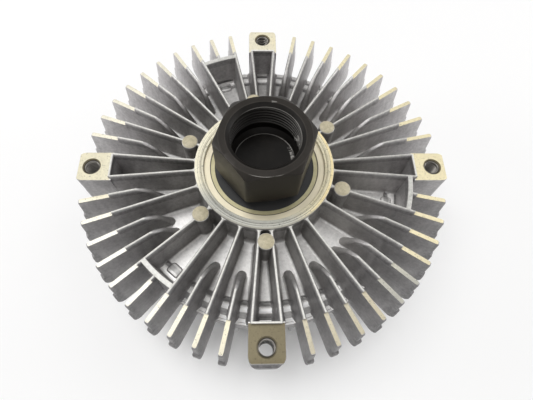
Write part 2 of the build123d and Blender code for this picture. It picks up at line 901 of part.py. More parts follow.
# Bimetal strip, bowed towards the dome so that its middle rests on the pin
with BuildPart() as bimetal_strip:
    with BuildSketch(Plane.XZ):
        with BuildLine():
            half_length = strip_length / 2
            ThreePointArc(
                (-half_length, strip_rear_z - strip_bow),
                (0, strip_rear_z),
                (half_length, strip_rear_z - strip_bow),
            )
            Line((half_length, strip_rear_z - strip_bow), (half_length, strip_front_z - strip_bow))
            ThreePointArc(
                (half_length, strip_front_z - strip_bow),
                (0, strip_front_z),
                (-half_length, strip_front_z - strip_bow),
            )
            Line((-half_length, strip_front_z - strip_bow), (-half_length, strip_rear_z - strip_bow))
        make_face()
    extrude(amount=strip_width / 2, both=True)
bimetal_strip.part.label = "bimetal_strip"
export_step(bimetal_strip.part, "parts/bimetal_strip.step")

# Strip holders: folded sheet clips that hold the ends of the strip with room to travel
with BuildPart() as strip_holder_right:
    with BuildSketch(Plane.XZ):
        with BuildLine():
            Polyline(
                (holder_end_x - holder_base, dome_z),
                (holder_end_x, dome_z),
                (holder_end_x, slot_front_z - holder_sheet),
                (holder_end_x - holder_hook, slot_front_z - holder_sheet),
                (holder_end_x - holder_hook, slot_front_z),
                (holder_end_x - holder_sheet, slot_front_z),
                (holder_end_x - holder_sheet, dome_z - holder_sheet),
                (holder_end_x - holder_base, dome_z - holder_sheet),
                close=True,
            )
        make_face()
    extrude(amount=holder_width / 2, both=True)
    with Locations((rivet_x_out, 0, dome_z)):
        with GridLocations(0, holder_rivet_spacing, 1, 2):
            Hole(holder_rivet_r, depth=holder_sheet)
strip_holder_right.part.label = "strip_holder_right"
export_step(strip_holder_right.part, "parts/strip_holder_right.step")

with BuildPart() as strip_holder_left:
    mirror(strip_holder_right.part, about=Plane.YZ)
strip_holder_left.part.label = "strip_holder_left"
export_step(strip_holder_left.part, "parts/strip_holder_left.step")

# Holder rivets, two for each holder
with BuildPart() as holder_rivets:
    with Locations((rivet_x_out, 0, dome_z), (-rivet_x_out, 0, dome_z)):
        with GridLocations(0, holder_rivet_spacing, 1, 2):
            Cylinder(
                holder_rivet_r,
                holder_rivet_depth,
                align=(Align.CENTER, Align.CENTER, Align.MIN),
            )
            Cylinder(holder_rivet_r, holder_sheet, align=(Align.CENTER, Align.CENTER, Align.MAX))
    under_z = dome_z - holder_sheet
    with Locations((rivet_x_out, 0, under_z), (-rivet_x_out, 0, under_z)):
        with GridLocations(0, holder_rivet_spacing, 1, 2):
            Cylinder(
                holder_rivet_head_r,
                holder_rivet_head,
                align=(Align.CENTER, Align.CENTER, Align.MAX),
            )
holder_rivets.part.label = "holder_rivets"
export_step(holder_rivets.part, "parts/holder_rivets.step")
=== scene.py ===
"""Viscous fan clutch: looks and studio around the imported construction.

Lengths are in metres, and in millimetres where a name ends in _MM or a docstring says so. Meshes are
drawn in millimetres and scaled by make_piece.
"""

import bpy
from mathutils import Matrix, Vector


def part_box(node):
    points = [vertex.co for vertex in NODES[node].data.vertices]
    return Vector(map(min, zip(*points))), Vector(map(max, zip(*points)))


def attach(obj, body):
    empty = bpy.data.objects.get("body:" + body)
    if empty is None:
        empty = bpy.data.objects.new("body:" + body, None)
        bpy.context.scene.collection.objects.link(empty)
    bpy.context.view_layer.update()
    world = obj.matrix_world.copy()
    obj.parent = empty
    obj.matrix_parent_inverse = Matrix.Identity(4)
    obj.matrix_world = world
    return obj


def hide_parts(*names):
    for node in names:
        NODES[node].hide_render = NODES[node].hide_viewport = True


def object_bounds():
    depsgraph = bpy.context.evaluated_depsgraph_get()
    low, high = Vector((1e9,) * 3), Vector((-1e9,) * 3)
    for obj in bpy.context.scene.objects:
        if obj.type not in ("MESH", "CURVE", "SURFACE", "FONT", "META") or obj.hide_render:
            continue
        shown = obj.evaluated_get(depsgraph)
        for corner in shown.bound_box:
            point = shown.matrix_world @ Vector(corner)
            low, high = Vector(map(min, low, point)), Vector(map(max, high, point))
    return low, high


bl_info = {
    "name": "Viscous Fan Clutch",
    "version": (1, 0, 0),
    "blender": (4, 5, 0),
    "location": "3D View > Sidebar > Fan Clutch",
    "description": "Dresses a finned viscous fan clutch: casting, nut head, bearing, cover and studio",
    "category": "Object",
}

from math import cos, pi, radians, sin, sqrt, tan, tau

import bmesh
import bpy
from bpy.props import FloatProperty, FloatVectorProperty, IntProperty, PointerProperty
from mathutils import Matrix, Vector

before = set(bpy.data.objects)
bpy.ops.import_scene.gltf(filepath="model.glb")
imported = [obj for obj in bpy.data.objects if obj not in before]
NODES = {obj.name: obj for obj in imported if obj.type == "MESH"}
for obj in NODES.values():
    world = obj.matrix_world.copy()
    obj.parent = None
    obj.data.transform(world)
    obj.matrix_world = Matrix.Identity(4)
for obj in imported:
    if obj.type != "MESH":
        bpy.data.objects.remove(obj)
CAD_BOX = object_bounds()
MM = 0.001

# Points of a mesh that lie closer than this are one point
WELD_MM = 0.0005

# Radii of the rear casting, from the ring outwards
RING_MM = 26.3
POST_CIRCLE_MM = 30.5
FLOOR_EDGE_MM = 48.9
BEAD_MM = 52.0
WALL_MM = 57.0
MACHINED_FROM_MM = 58.0

# Heights of the rear casting. The machined faces are at 0
FLOOR_MM = -11.0
GROOVE_MM = -11.9
OUTSIDE_MM = -12.4
CAST_TOP_MM = 1.3

# Fins: inner ends of the three kinds, and the radius where all begin below the floor
LONG_FROM_MM = 24.9
SHORT_FROM_MM = 38.4
STUB_FROM_MM = 55.4
UNDER_FLOOR_MM = 55.0
FIN_LEVELS_MM = (
    -16.3, -16.1, -15.5, -14.6, -13.6, -12.9, -12.3, -11.9, -11.5, -11.2, -11.0, -10.75, -10.5, -9.6, -7.0,
    -4.8, -2.6, -1.9, -0.95, -0.4, -0.1, 0.0,
)
FIN_STATIONS_MM = (
    26.3, 26.6, 27.1, 28.0, 30.0, 34.0, 40.0, 44.0, 48.5, 49.4, 50.5, 52.0, 53.5, 54.6, 56.0, 57.0, 57.3,
    57.9, 60.0, 64.0, 68.0,
)

# Fin tables: radius of the free end, of the scoop and of the nose over height, half thickness of the
# crest over height, and height of the floor over radius
FREE_END_MM = (
    (-16.3, 68.5), (-16.1, 69.5), (-15.5, 70.4), (-14.6, 71.0), (-13.6, 71.2), (-10.5, 70.9), (-9.6, 70.0),
    (-0.95, 69.3), (-0.4, 69.1), (-0.1, 68.8), (0.0, 68.4),
)
SCOOP_MM = (
    (-12.0, 37.85), (-11.0, 38.4), (-2.6, 43.25), (-1.9, 44.0), (-0.9, 45.2), (-0.2, 46.1), (0.5, 47.1),
    (1.0, 47.9), (1.3, 48.6),
)
NOSE_MM = ((-12.0, 2.1), (-11.0, 1.9), (-2.6, 0.88))
CREST_MM = ((0.0, 0.72), (0.45, 0.60), (0.85, 0.46), (1.1, 0.32), (1.24, 0.18), (1.3, 0.06))
FLOOR_LINE_MM = (
    (RING_MM, FLOOR_MM), (FLOOR_EDGE_MM, FLOOR_MM), (49.3, GROOVE_MM), (50.5, -11.2), (BEAD_MM, -10.9),
    (53.5, -11.2), (54.6, GROOVE_MM), (WALL_MM, OUTSIDE_MM), (60.0, -20.0),
)

# The fins of each quarter from one lug to the next: long, short, or outside a cross-rib
PATTERN = ("slslsslsls", "lolslslsls", "slsslolsls", "slslsslslo")
POST_DEGREES = (34.4, 97.3, 160.5, 221.0, 270.4, 340.6)

# Bolt lugs and their tapped holes
BOLT_CIRCLE_MM = 65.0
LUG_HALF_MM = 6.0
LUG_CORNER_MM = 3.4
LUG_INNER_MM = 57.2
LUG_LEVELS_MM = (-16.3, -16.1, -15.5, -14.6, -13.6, -12.95, -12.85, -10.5, -9.6, -5.0, -0.5, -0.12, 0.0)
LUG_END_MM = (*((z, s - 0.2) for z, s in FREE_END_MM[:7]), (-0.5, 70.1), (-0.12, 69.9), (0.0, 69.6))
TAP_MM = 2.5
TAP_CHAMFER_MM = (3.0, -0.45)
TAP_MOUTH_MM = 3.4
STRIP_ON_LUG_MM = 5.1

# Drive hub: underside of the nut head, and radii and heights of its socket
NUT_FOOT_MM = 3.0
MOUTH_MM = 13.6
THREAD_MM = 12.2
THREAD_LOW_MM = 11.1
THREAD_HIGH_MM = 20.1
RELIEF_MM = 13.0
SOCKET_FLOOR_MM = 5.5

# Front cover: corners of its turned body as (r, z, rounding), its ridges and its fins
COVER_CORNERS_MM = (
    (55.3, -18.0, 0.2), (55.3, -22.2, 0.3), (53.0, -22.2, 0.2), (53.0, -25.5, 0.6), (35.0, -25.5, 1.5),
    (32.0, -33.0, 2.2), (6.5, -33.0, 0.8), (6.5, -34.4, 0.5), (2.05, -34.4, 0.3), (2.05, -26.5, 0),
    (6.5, -26.5, 0), (6.5, -29.5, 0), (25.5, -29.5, 0), (25.5, -20.4, 0), (29.4, -20.4, 0), (29.4, -18.6, 0),
    (31.3, -18.6, 0), (31.3, -22.0, 0),
)
COVER_RIDGES_MM = (35.3, 38.9, 42.5, 46.1)
RIDGE_HALF_MM = 0.7
COVER_BACK_MM = -25.5
COVER_SLOPE_MM = -31.5
COVER_FIN_LEVELS_MM = (
    -24.9, -25.5, -25.8, -26.2, -27.0, -31.5, -36.0, -38.0, -39.2, -40.3, -41.1, -41.55, -41.85,
)
COVER_FIN_INNER_MM = 32.5
COVER_FIN_OUTER_MM = 57.0
COVER_FIN_CORNER_MM = 4.0
COVER_FIN_EDGE_MM = 0.45

# Bimetal strip, its holders and their rivets
STRIP_MIDDLE_MM = -37.9
STRIP_BOW_MM = 0.5
STRIP_HALF_MM = 26.0
STRIP_THICK_MM = 1.0
HOLDER_SHEET_MM = 1.2
HOLDER_HOOK_MM = 3.6
RIVET_HEAD_MM = 2.2
RIVET_SHANK_MM = 1.2
RIVET_SEAT_MM = -34.2
RIVET_RIM_MM = 0.15

# Studio lamps: name, place, size and power in watts
LAMPS = (
    ("lamp_top", (-0.30, 0.15, 0.75), 0.42, 3.6),
    ("lamp_right", (0.42, 0.30, 0.65), 0.4, 1.2),
    ("lamp_front", (0.05, -0.7, 0.40), 0.5, 0.6),
    ("lamp_low_left", (-0.75, 0.10, 0.17), 0.35, 2.0),
    ("lamp_low_right", (0.75, 0.10, 0.17), 0.35, 2.0),
)


def span_mm(node):
    """Lowest and highest corner of a node in millimetres."""
    low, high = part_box(node)
    return low / MM, high / MM


def colour(name, text, value):
    """A colour property."""
    return FloatVectorProperty(
        name=name, description=text, subtype="COLOR", size=3, min=0, max=1, default=value
    )


def length(name, text, value):
    """A length property in metres, given in millimetres."""
    return FloatProperty(name=name, description=text, unit="LENGTH", precision=5, default=value * MM)


def degrees(name, text, value):
    """An angle property, given in degrees."""
    return FloatProperty(name=name, description=text, subtype="ANGLE", default=radians(value))


class CastingSettings(bpy.types.PropertyGroup):
    """Sizes and colours of the rear casting"""

    first_fin: degrees("First fin", "Angle from a lug to the first fin", 12.187)
    rib_angle: degrees("Lug rib", "Angle of the ribs on both sides of a lug", 4.75)
    draft: degrees("Draft", "Draft of the cast fins", 2.8)
    land: length("Land", "Width of a fin where it is machined", 1.5)
    foot_round: length("Foot round", "Fillet where a fin meets the floor", 1.1)
    machined: colour("Machined", "Machined lands and ring face", (0.85, 0.81, 0.66))
    stained: colour("Stained", "Machined faces with a yellow stain", (0.76, 0.68, 0.44))
    cream: colour("Cream", "Machined faces near the left lug", (0.63, 0.58, 0.41))
    # Olive: a painted dark reflection on the bottom lug, and also olive on the lower rim of the ring and in
    # the mouths of the tapped holes
    olive: colour("Olive", "The darkest stain, on one lug", (0.178, 0.149, 0.084))
    yellow: colour("Yellow", "Stained rim of the ring", (0.95, 0.78, 0.40))
    grey: colour("Grey", "Ring face and lands that are worn grey", (0.44, 0.44, 0.40))
    # White: painted glare on the lower left lands
    white: colour("White", "Clean machined lands on one side", (0.87, 0.86, 0.80))
    # Dull: painted shade on the machined lands of the lower right
    dull: colour("Dull", "Machined lands that have gone dull", (0.42, 0.38, 0.30))
    # Crest: the colour of a painted highlight on the cast crests
    crest: colour("Crest", "Cast crests that catch the light", (0.78, 0.77, 0.72))
    post: colour("Post", "Tops of the round posts", (0.46, 0.41, 0.28))
    floor: colour("Floor", "Grainy cast floor", (0.60, 0.59, 0.575))
    # Lit and shaded copies of the fin side colour: painted shade near the ring and on the lower half
    side_inner: colour("Inner sides", "Fin sides near the ring", (0.27, 0.26, 0.25))
    side_outer: colour("Outer sides", "Fin sides near the free ends", (0.52, 0.505, 0.505))
    side_dull: colour("Dull outer sides", "Outer fin sides on the dull half", (0.37, 0.36, 0.36))
    # Hole and thread: painted shade in the tapped holes and painted glints on their thread crests
    hole: colour("Hole", "Walls of the tapped holes", (0.03, 0.026, 0.022))
    thread: colour("Thread", "Thread crests in the tapped holes", (0.32, 0.30, 0.27))


class HubSettings(bpy.types.PropertyGroup):
    """Sizes and colours of the drive hub"""

    flats: length("Across flats", "Width of the nut head", 32.0)
    turn: degrees("Turn", "Turn of the nut head about the axis", 9)
    pitch: length("Pitch", "Pitch of the hub thread", 1.5)
    depth: length("Thread depth", "Depth of the hub thread", 0.85)
    steel: colour("Steel", "Black oxide steel", (0.021, 0.018, 0.015))
    worn: colour("Worn steel", "Black oxide where it is rubbed", (0.09, 0.08, 0.07))
    # Bright: the colour of the painted highlights in the socket, along edges and on the thread turns
    bright: colour("Bright steel", "Steel where the oxide is gone", (0.60, 0.58, 0.54))


class CoverSettings(bpy.types.PropertyGroup):
    """Sizes and colours of the front cover, the strip and its holders"""

    fin_count: IntProperty(name="Fins", description="Number of fins on the front cover", default=32)
    fin_tip: length("Fin tip", "Thickness of a cover fin at its tip", 1.4)
    fin_draft: degrees("Fin draft", "Draft of the cover fins", 1.8)
    skin: colour("Skin", "Cast front cover", (0.52, 0.515, 0.51))
    tips: colour("Tips", "Cover fin tips and edges that are rubbed", (0.74, 0.73, 0.70))
    active: colour("Active side", "Copper coloured side of the bimetal strip", (0.52, 0.36, 0.20))
    passive: colour("Passive side", "Grey side of the bimetal strip", (0.50, 0.48, 0.44))
    plated: colour("Plated", "Zinc plated holders and rivets", (0.62, 0.60, 0.50))


class InsideSettings(bpy.types.PropertyGroup):
    """Colours of the bearing, the seals and the inner pieces"""

    ring: colour("Ring", "Ground bearing rings", (0.64, 0.58, 0.43))
    # Gap: painted shade in the gap beside the bearing seal
    gap: colour("Gap", "Dark gap beside the bearing seal", (0.05, 0.04, 0.025))
    seal: colour("Seal", "Rubber of the bearing seals", (0.012, 0.012, 0.012))
    band: colour("Band", "Metal band at the rim of a bearing seal", (0.46, 0.42, 0.25))
    balls: colour("Balls", "Polished balls", (0.75, 0.75, 0.76))
    rubber: colour("Rubber", "Rubber rings and the moulded cage", (0.02, 0.02, 0.02))
    rotor: colour("Rotor", "Turned rotor", (0.62, 0.61, 0.59))
    plate: colour("Plate", "Partition plate", (0.50, 0.49, 0.47))
    screws: colour("Screws", "Plate screws and valve rivet", (0.50, 0.48, 0.42))
    lever: colour("Lever", "Spring steel of the valve lever", (0.48, 0.49, 0.51))
    pin: colour("Pin", "Brass of the control pin", (0.62, 0.44, 0.18))


class StageSettings(bpy.types.PropertyGroup):
    """Camera and studio"""

    lens: FloatProperty(name="Lens", description="Focal length in millimetres", default=26.985)
    azimuth: degrees("Azimuth", "Camera azimuth", -4.5335)
    elevation: degrees("Elevation", "Camera elevation", 65.2327)
    roll: degrees("Roll", "Camera roll", 4.0251)
    distance: length("Distance", "Camera to its target", 146.6)
    target: FloatVectorProperty(
        name="Target", description="Point that the camera looks at", subtype="TRANSLATION",
        size=3, default=(0.000624, -0.014127, 0.0),
    )
    floor: colour("Floor", "Pale studio floor", (0.95, 0.945, 0.94))
    seen_white: FloatProperty(
        name="Seen white", description="Share of plain white in the seen floor around the part", default=0.50
    )
    ambient: FloatProperty(name="Ambient", description="Strength of the surrounding light", default=0.30)


class FanClutchSettings(bpy.types.PropertyGroup):
    """All settings of the fan clutch"""

    casting: PointerProperty(type=CastingSettings)
    hub: PointerProperty(type=HubSettings)
    cover: PointerProperty(type=CoverSettings)
    inside: PointerProperty(type=InsideSettings)
    stage: PointerProperty(type=StageSettings)


class Signal:
    """A shader value. Arithmetic on it adds Math nodes."""

    def __init__(self, finish, socket):
        self.finish = finish
        self.socket = socket

    def math(self, operation, *others):
        """This value and the others through one Math node."""
        values = dict(enumerate((self, *others)))
        return self.finish.signal("ShaderNodeMath", {"operation": operation}, values)

    def clamp(self):
        """The value held between 0 and 1."""
        return self.finish.signal("ShaderNodeClamp", {}, {0: self})

    def step(self, low, high):
        """0 below low, 1 above high and smooth between."""
        return self.finish.signal(
            "ShaderNodeMapRange", {"interpolation_type": "SMOOTHSTEP"}, {0: self, 1: low, 2: high}
        )

    def below(self, low, high):
        """1 below low, 0 above high and smooth between."""
        return 1 - self.step(low, high)

    def band(self, low, high, soft):
        """1 between low and high, fading to 0 within a soft margin outside them."""
        return self.step(low - soft, low) * self.below(high, high + soft)

    def __add__(self, other):
        return self.math("ADD", other)

    __radd__ = __add__

    def __sub__(self, other):
        return self.math("SUBTRACT", other)

    def __rsub__(self, other):
        return Signal(self.finish, self.finish.number(other)).math("SUBTRACT", self)

    def __mul__(self, other):
        return self.math("MULTIPLY", other)

    def __truediv__(self, other):
        return self.math("DIVIDE", other)

    def __pow__(self, other):
        return self.math("POWER", other)

    def __abs__(self):
        return self.math("ABSOLUTE")


class Shading:
    """Builds the node tree of a material or a world."""

    def __init__(self, holder, output):
        holder.use_nodes = True
        self.tree = holder.node_tree
        self.tree.nodes.clear()
        self.output = self.node(output)

    def number(self, value):
        """An output socket that holds a number."""
        made = self.tree.nodes.new("ShaderNodeValue")
        made.outputs[0].default_value = value
        return made.outputs[0]

    def node(self, kind, settings=None, sockets=None):
        """Adds a node: its settings first, then the values or links of its sockets."""
        made = self.tree.nodes.new(kind)
        for name, value in (settings or {}).items():
            setattr(made, name, value)
        for name, value in (sockets or {}).items():
            self.feed(made.inputs[name], value)
        return made

    def signal(self, kind, settings, sockets, output=0):
        """One output of an added node as a shader value."""
        return Signal(self, self.node(kind, settings, sockets).outputs[output])

    def feed(self, socket, value):
        """Links or sets one input socket."""
        if isinstance(value, Signal):
            value = value.socket
        if isinstance(value, bpy.types.NodeSocket):
            self.tree.links.new(value, socket)
        elif hasattr(value, "__len__") and len(value) == 3 and len(socket.default_value) == 4:
            socket.default_value = (*value, 1)
        else:
            socket.default_value = value

    def background(self):
        """1 where the camera, a reflection or a view through something meets the surface, else 0."""
        path = self.node("ShaderNodeLightPath")
        rays = ("Is Camera Ray", "Is Glossy Ray", "Is Transmission Ray")
        camera, glossy, transmission = (Signal(self, path.outputs[ray]) for ray in rays)
        return (camera + glossy + transmission).clamp()

    def end(self, kind, sockets):
        """A last shader node, joined to the output."""
        made = self.node(kind, {}, sockets)
        self.tree.links.new(made.outputs[0], self.output.inputs[0])


class Finish(Shading):
    """Builds one procedural material."""

    def __init__(self, name):
        self.material = bpy.data.materials.new(name)
        super().__init__(self.material, "ShaderNodeOutputMaterial")
        self.places = self.node("ShaderNodeTexCoord")

    def place(self, axis):
        """X, Y or Z of the surface in millimetres."""
        return self.signal("ShaderNodeSeparateXYZ", {}, {0: self.places.outputs["Object"]}, axis) * 1000

    def facing(self, axis):
        """X, Y or Z of the surface normal."""
        return self.signal("ShaderNodeSeparateXYZ", {}, {0: self.places.outputs["Normal"]}, axis)

    def radius(self):
        """Distance from the spin axis in millimetres."""
        level = self.stretched((1000, 1000, 0))
        return self.signal("ShaderNodeVectorMath", {"operation": "LENGTH"}, {0: level}, "Value")

    def stretched(self, scale):
        """The place on the surface, scaled along each axis."""
        sockets = {0: self.places.outputs["Object"], 1: scale}
        return self.signal("ShaderNodeVectorMath", {"operation": "MULTIPLY"}, sockets)

    def noise(self, per_mm, detail, roughness, stretch=(1, 1, 1)):
        """Noise about 0.5, with its scale in waves per millimetre."""
        waves = self.stretched(tuple(1000 * per_mm * share for share in stretch))
        sockets = {"Vector": waves, "Scale": 1.0, "Detail": detail, "Roughness": roughness}
        return self.signal("ShaderNodeTexNoise", {}, sockets)

    def rings(self, per_mm):
        """Noise that changes with the distance from the spin axis only."""
        sockets = {"W": self.radius(), "Scale": per_mm, "Detail": 2.0}
        return self.signal("ShaderNodeTexNoise", {"noise_dimensions": "1D"}, sockets)

    def mix(self, factor, one, other):
        """A colour mixed from one to the other."""
        return self.signal("ShaderNodeMix", {"data_type": "RGBA"}, {0: factor, 6: one, 7: other}, 2)

    def tint(self, tone, value):
        """A colour made darker or lighter by a value about 1."""
        return self.signal("ShaderNodeVectorMath", {"operation": "SCALE"}, {0: tone, "Scale": value})

    def bump(self, height, distance, strength):
        """A bumped normal from a height of 0 to 1 over a distance in millimetres."""
        sockets = {"Strength": strength, "Distance": distance * MM, "Height": height}
        return self.signal("ShaderNodeBump", {}, sockets)

    def surface(self, tone, metallic, rough, normal, specular=0.5):
        """Ends the material in a principled surface."""
        self.end("ShaderNodeBsdfPrincipled", {
            "Base Color": tone, "Metallic": metallic, "Roughness": rough, "Normal": normal,
            "Specular IOR Level": specular,
        })
        return self.material


def casting_finish(settings):
    """Die cast aluminium: machined lands, pale crests with a painted highlight, a bright grainy floor with
    painted shade and highlights, and darker fin sides in painted shade.
    """
    finish = Finish("cast_aluminium_rear")
    x, y, z = (finish.place(axis) for axis in range(3))
    radius = finish.radius()
    along = abs(x).math("MAXIMUM", abs(y)) - BOLT_CIRCLE_MM
    across = abs(x).math("MINIMUM", abs(y))
    up = finish.facing(2)
    flat = up.step(0.75, 0.95)
    grain = finish.noise(2.2, 4, 0.65)
    cloud = finish.noise(0.09, 3, 0.55)
    mottle = finish.noise(0.8, 2, 0.6)
    streak = finish.noise(0.5, 3, 0.6, (1, 1, 0.2))
    drift = (cloud - 0.5) * 60
    # Painted light: the upper half is the lit half and the lower half is the shaded half
    lit_half = (y + drift).step(-45, 35)
    shaded_half = 1 - lit_half
    speckle = (grain - 0.5) * 0.5 + (mottle - 0.5) * 0.7

    # Fin sides: painted shade near the ring, under the crests, at the lower tips and on the outer sides of
    # the lower half, and painted light on the inner sides at the right, over speckles and streaks
    outer = finish.mix(lit_half, settings.side_dull, settings.side_outer)
    sides = finish.mix((radius + drift * 0.25).step(32, 62), settings.side_inner, outer)
    under_crest = z.band(-1.4, 0.5, 0.5) * up.below(0.1, 0.4)
    under_crest = under_crest * radius.below(MACHINED_FROM_MM - 0.5, MACHINED_FROM_MM)
    shaded_tip = radius.step(65.5, 70.5) * shaded_half * 0.5
    lit = radius.below(42, 58) * x.step(8, 35) * 0.35
    wear_and_light = speckle + (streak - 0.5) * 0.5 - under_crest * 0.3 - shaded_tip + lit
    sides = finish.tint(sides, 1.0 + wear_and_light)

    # Floor: painted shade in the dark grooves, painted highlights on the bright flanks beside the bead and on
    # the rim, a painted glint at the foot of the ring and painted light towards the bottom, over its grain
    low = z.below(-10.6, -10.2)
    grooves = (radius.band(FLOOR_EDGE_MM, 50.2, 0.5) + radius.band(53.2, 54.8, 0.4)) * low
    shine = (radius.band(51.3, 52.7, 0.5) + radius.band(55.2, 57.2, 0.2)) * low
    glint = radius.band(28.0, 30.5, 1.0) * shaded_half
    glint = glint + x.band(-14, 14, 6) * y.below(-42, -28) * 0.7
    relief = speckle * 0.8 - lit_half * 0.35 - grooves * 0.65 + shine * 0.35 + glint * 0.3
    tone = finish.mix(flat, sides, finish.tint(settings.floor, 1.2 + relief))

    # Cast crests with a painted highlight, in painted shade towards the upper right except on the lug strips,
    # and posts with painted shade where they are not flat
    crest = z.step(0.75, 1.1) * up.step(0.45, 0.8)
    on_lug = along.band(-7.8, -6.9, 0.1) * across.below(STRIP_ON_LUG_MM, STRIP_ON_LUG_MM + 0.2)
    shaded_crest = (x + y).step(-60, 60) * 0.3 * (1 - on_lug)
    tone = finish.mix(crest, tone, finish.tint(settings.crest, 1.0 + (mottle - 0.5) * 0.6 - shaded_crest))
    post = z.step(CAST_TOP_MM + 0.01, CAST_TOP_MM + 0.1) * radius.band(26.9, 34.2, 0.2)
    post = post * up.step(0.3, 0.6)
    tone = finish.mix(post, tone, finish.tint(settings.post, 0.75 + flat * 0.25 + speckle))

    # Where the casting is machined
    on_top = z.band(-0.05, 0.1, 0.1)
    land = flat * on_top * radius.step(MACHINED_FROM_MM - 0.2, MACHINED_FROM_MM - 0.05)
    ring_face = radius.below(26.0, 26.4) * z.step(0.4, 0.6)
    ring_face = ring_face * (up.step(0.3, 0.8) + radius.below(24.0, 24.3))
    machined = (land + ring_face.clamp()).clamp()

    # Stains and worn places of the machined faces, one over the other, with painted light among them: painted
    # shade on the lower right lands, painted glare on the lower left lands and a painted dark reflection on
    # the bottom lug
    clean = finish.mix((x + drift * 1.5).step(-60, 70), settings.machined, settings.stained)
    on_ring = radius.below(26.6, 27.0)
    # Painted dark reflection on the bottom lug, in the olive colour
    low_lug_reflection = y.below(-56.5, -56.0) * abs(x).below(6.5, 7.5)
    olive_rim = radius.band(26.0, 26.5, 0.5) * (y + drift * 0.3).below(-24, -8) * 0.45
    for place, stain in (
        # Painted shade on the lower right lands
        ((y + drift * 0.4).below(-50, -32) * x.step(4, 12) * 0.6, settings.dull),
        ((y / x).band(-1.24, -0.78, 0.02) * x.step(20, 30) * 0.8, settings.grey),
        # Painted glare on the lower left lands
        (x.below(-50, -18) * (y + drift * 0.3).below(-34, -14) * 0.7, settings.white),
        (x.below(-62, -50) * y.band(-12, 7, 3) * 0.8, settings.cream),
        (on_ring * x.step(12, 21) * radius.step(24.9, 25.4) * 0.7, settings.yellow),
        (on_ring * (y + x * 0.3).below(-22, -13) * 0.9, settings.grey),
        ((low_lug_reflection + olive_rim).clamp(), settings.olive),
    ):
        clean = finish.mix(place, clean, stain)
    turning = radius.band(24.22, 24.38, 0.12) + radius.band(25.06, 25.14, 0.12)
    turning = turning * (0.28 + y.below(-23, -12) * 0.3)
    pores = finish.noise(1.5, 2, 0.5).step(0.60, 0.68) * 0.35
    wear_and_light = (cloud - 0.5) * 0.3 + (mottle - 0.5) * 0.3 - turning - pores - lit_half * 0.1
    tone = finish.mix(machined, tone, finish.tint(clean, 1.0 + wear_and_light))

    # Tapped holes: painted shade on the walls, painted glints on the thread crests and an olive mouth
    from_hole = (along * along + across * across) ** 0.5
    hole = from_hole.below(TAP_MOUTH_MM - 0.05, TAP_MOUTH_MM + 0.02)
    thread = hole * from_hole.below(TAP_MM + 0.05, TAP_MM + 0.25)
    tone = finish.mix(hole, tone, finish.mix(thread, settings.hole, settings.thread))
    tone = finish.mix(hole * z.step(-0.5, -0.4) * 0.7, tone, settings.olive)

    rough = 0.46 + machined * 0.06 + (grain - 0.5) * 0.2 - thread * 0.15
    metal = 0.72 - (machined + crest).clamp() * 0.52 - flat * (1 - machined) * 0.3
    metal = metal - (1 - flat) * shaded_half * 0.3
    return finish.surface(tone, metal, rough, finish.bump(grain * (1 - machined * 0.8), 0.04, 0.5))


def cast_finish(name, base, metallic, rough):
    """Plain sheet or bar metal with a cloudy tone and a fine grain."""
    finish = Finish(name)
    grain = finish.noise(2.0, 4, 0.6)
    cloud = finish.noise(0.12, 3, 0.5)
    tone = finish.tint(base, 1.0 + (cloud - 0.5) * 0.35 + (grain - 0.5) * 0.25)
    return finish.surface(tone, metallic, rough + (grain - 0.5) * 0.2, finish.bump(grain, 0.05, 0.5))


def turned_finish(name, base, metallic, rough, rings):
    """Turned or ground steel with fine rings round the axis."""
    finish = Finish(name)
    lines = finish.rings(rings)
    cloud = finish.noise(0.2, 3, 0.5)
    tone = finish.tint(base, 1.0 + (lines - 0.5) * 0.25 + (cloud - 0.5) * 0.3)
    return finish.surface(tone, metallic, rough + (cloud - 0.5) * 0.2, finish.bump(lines, 0.02, 0.4))


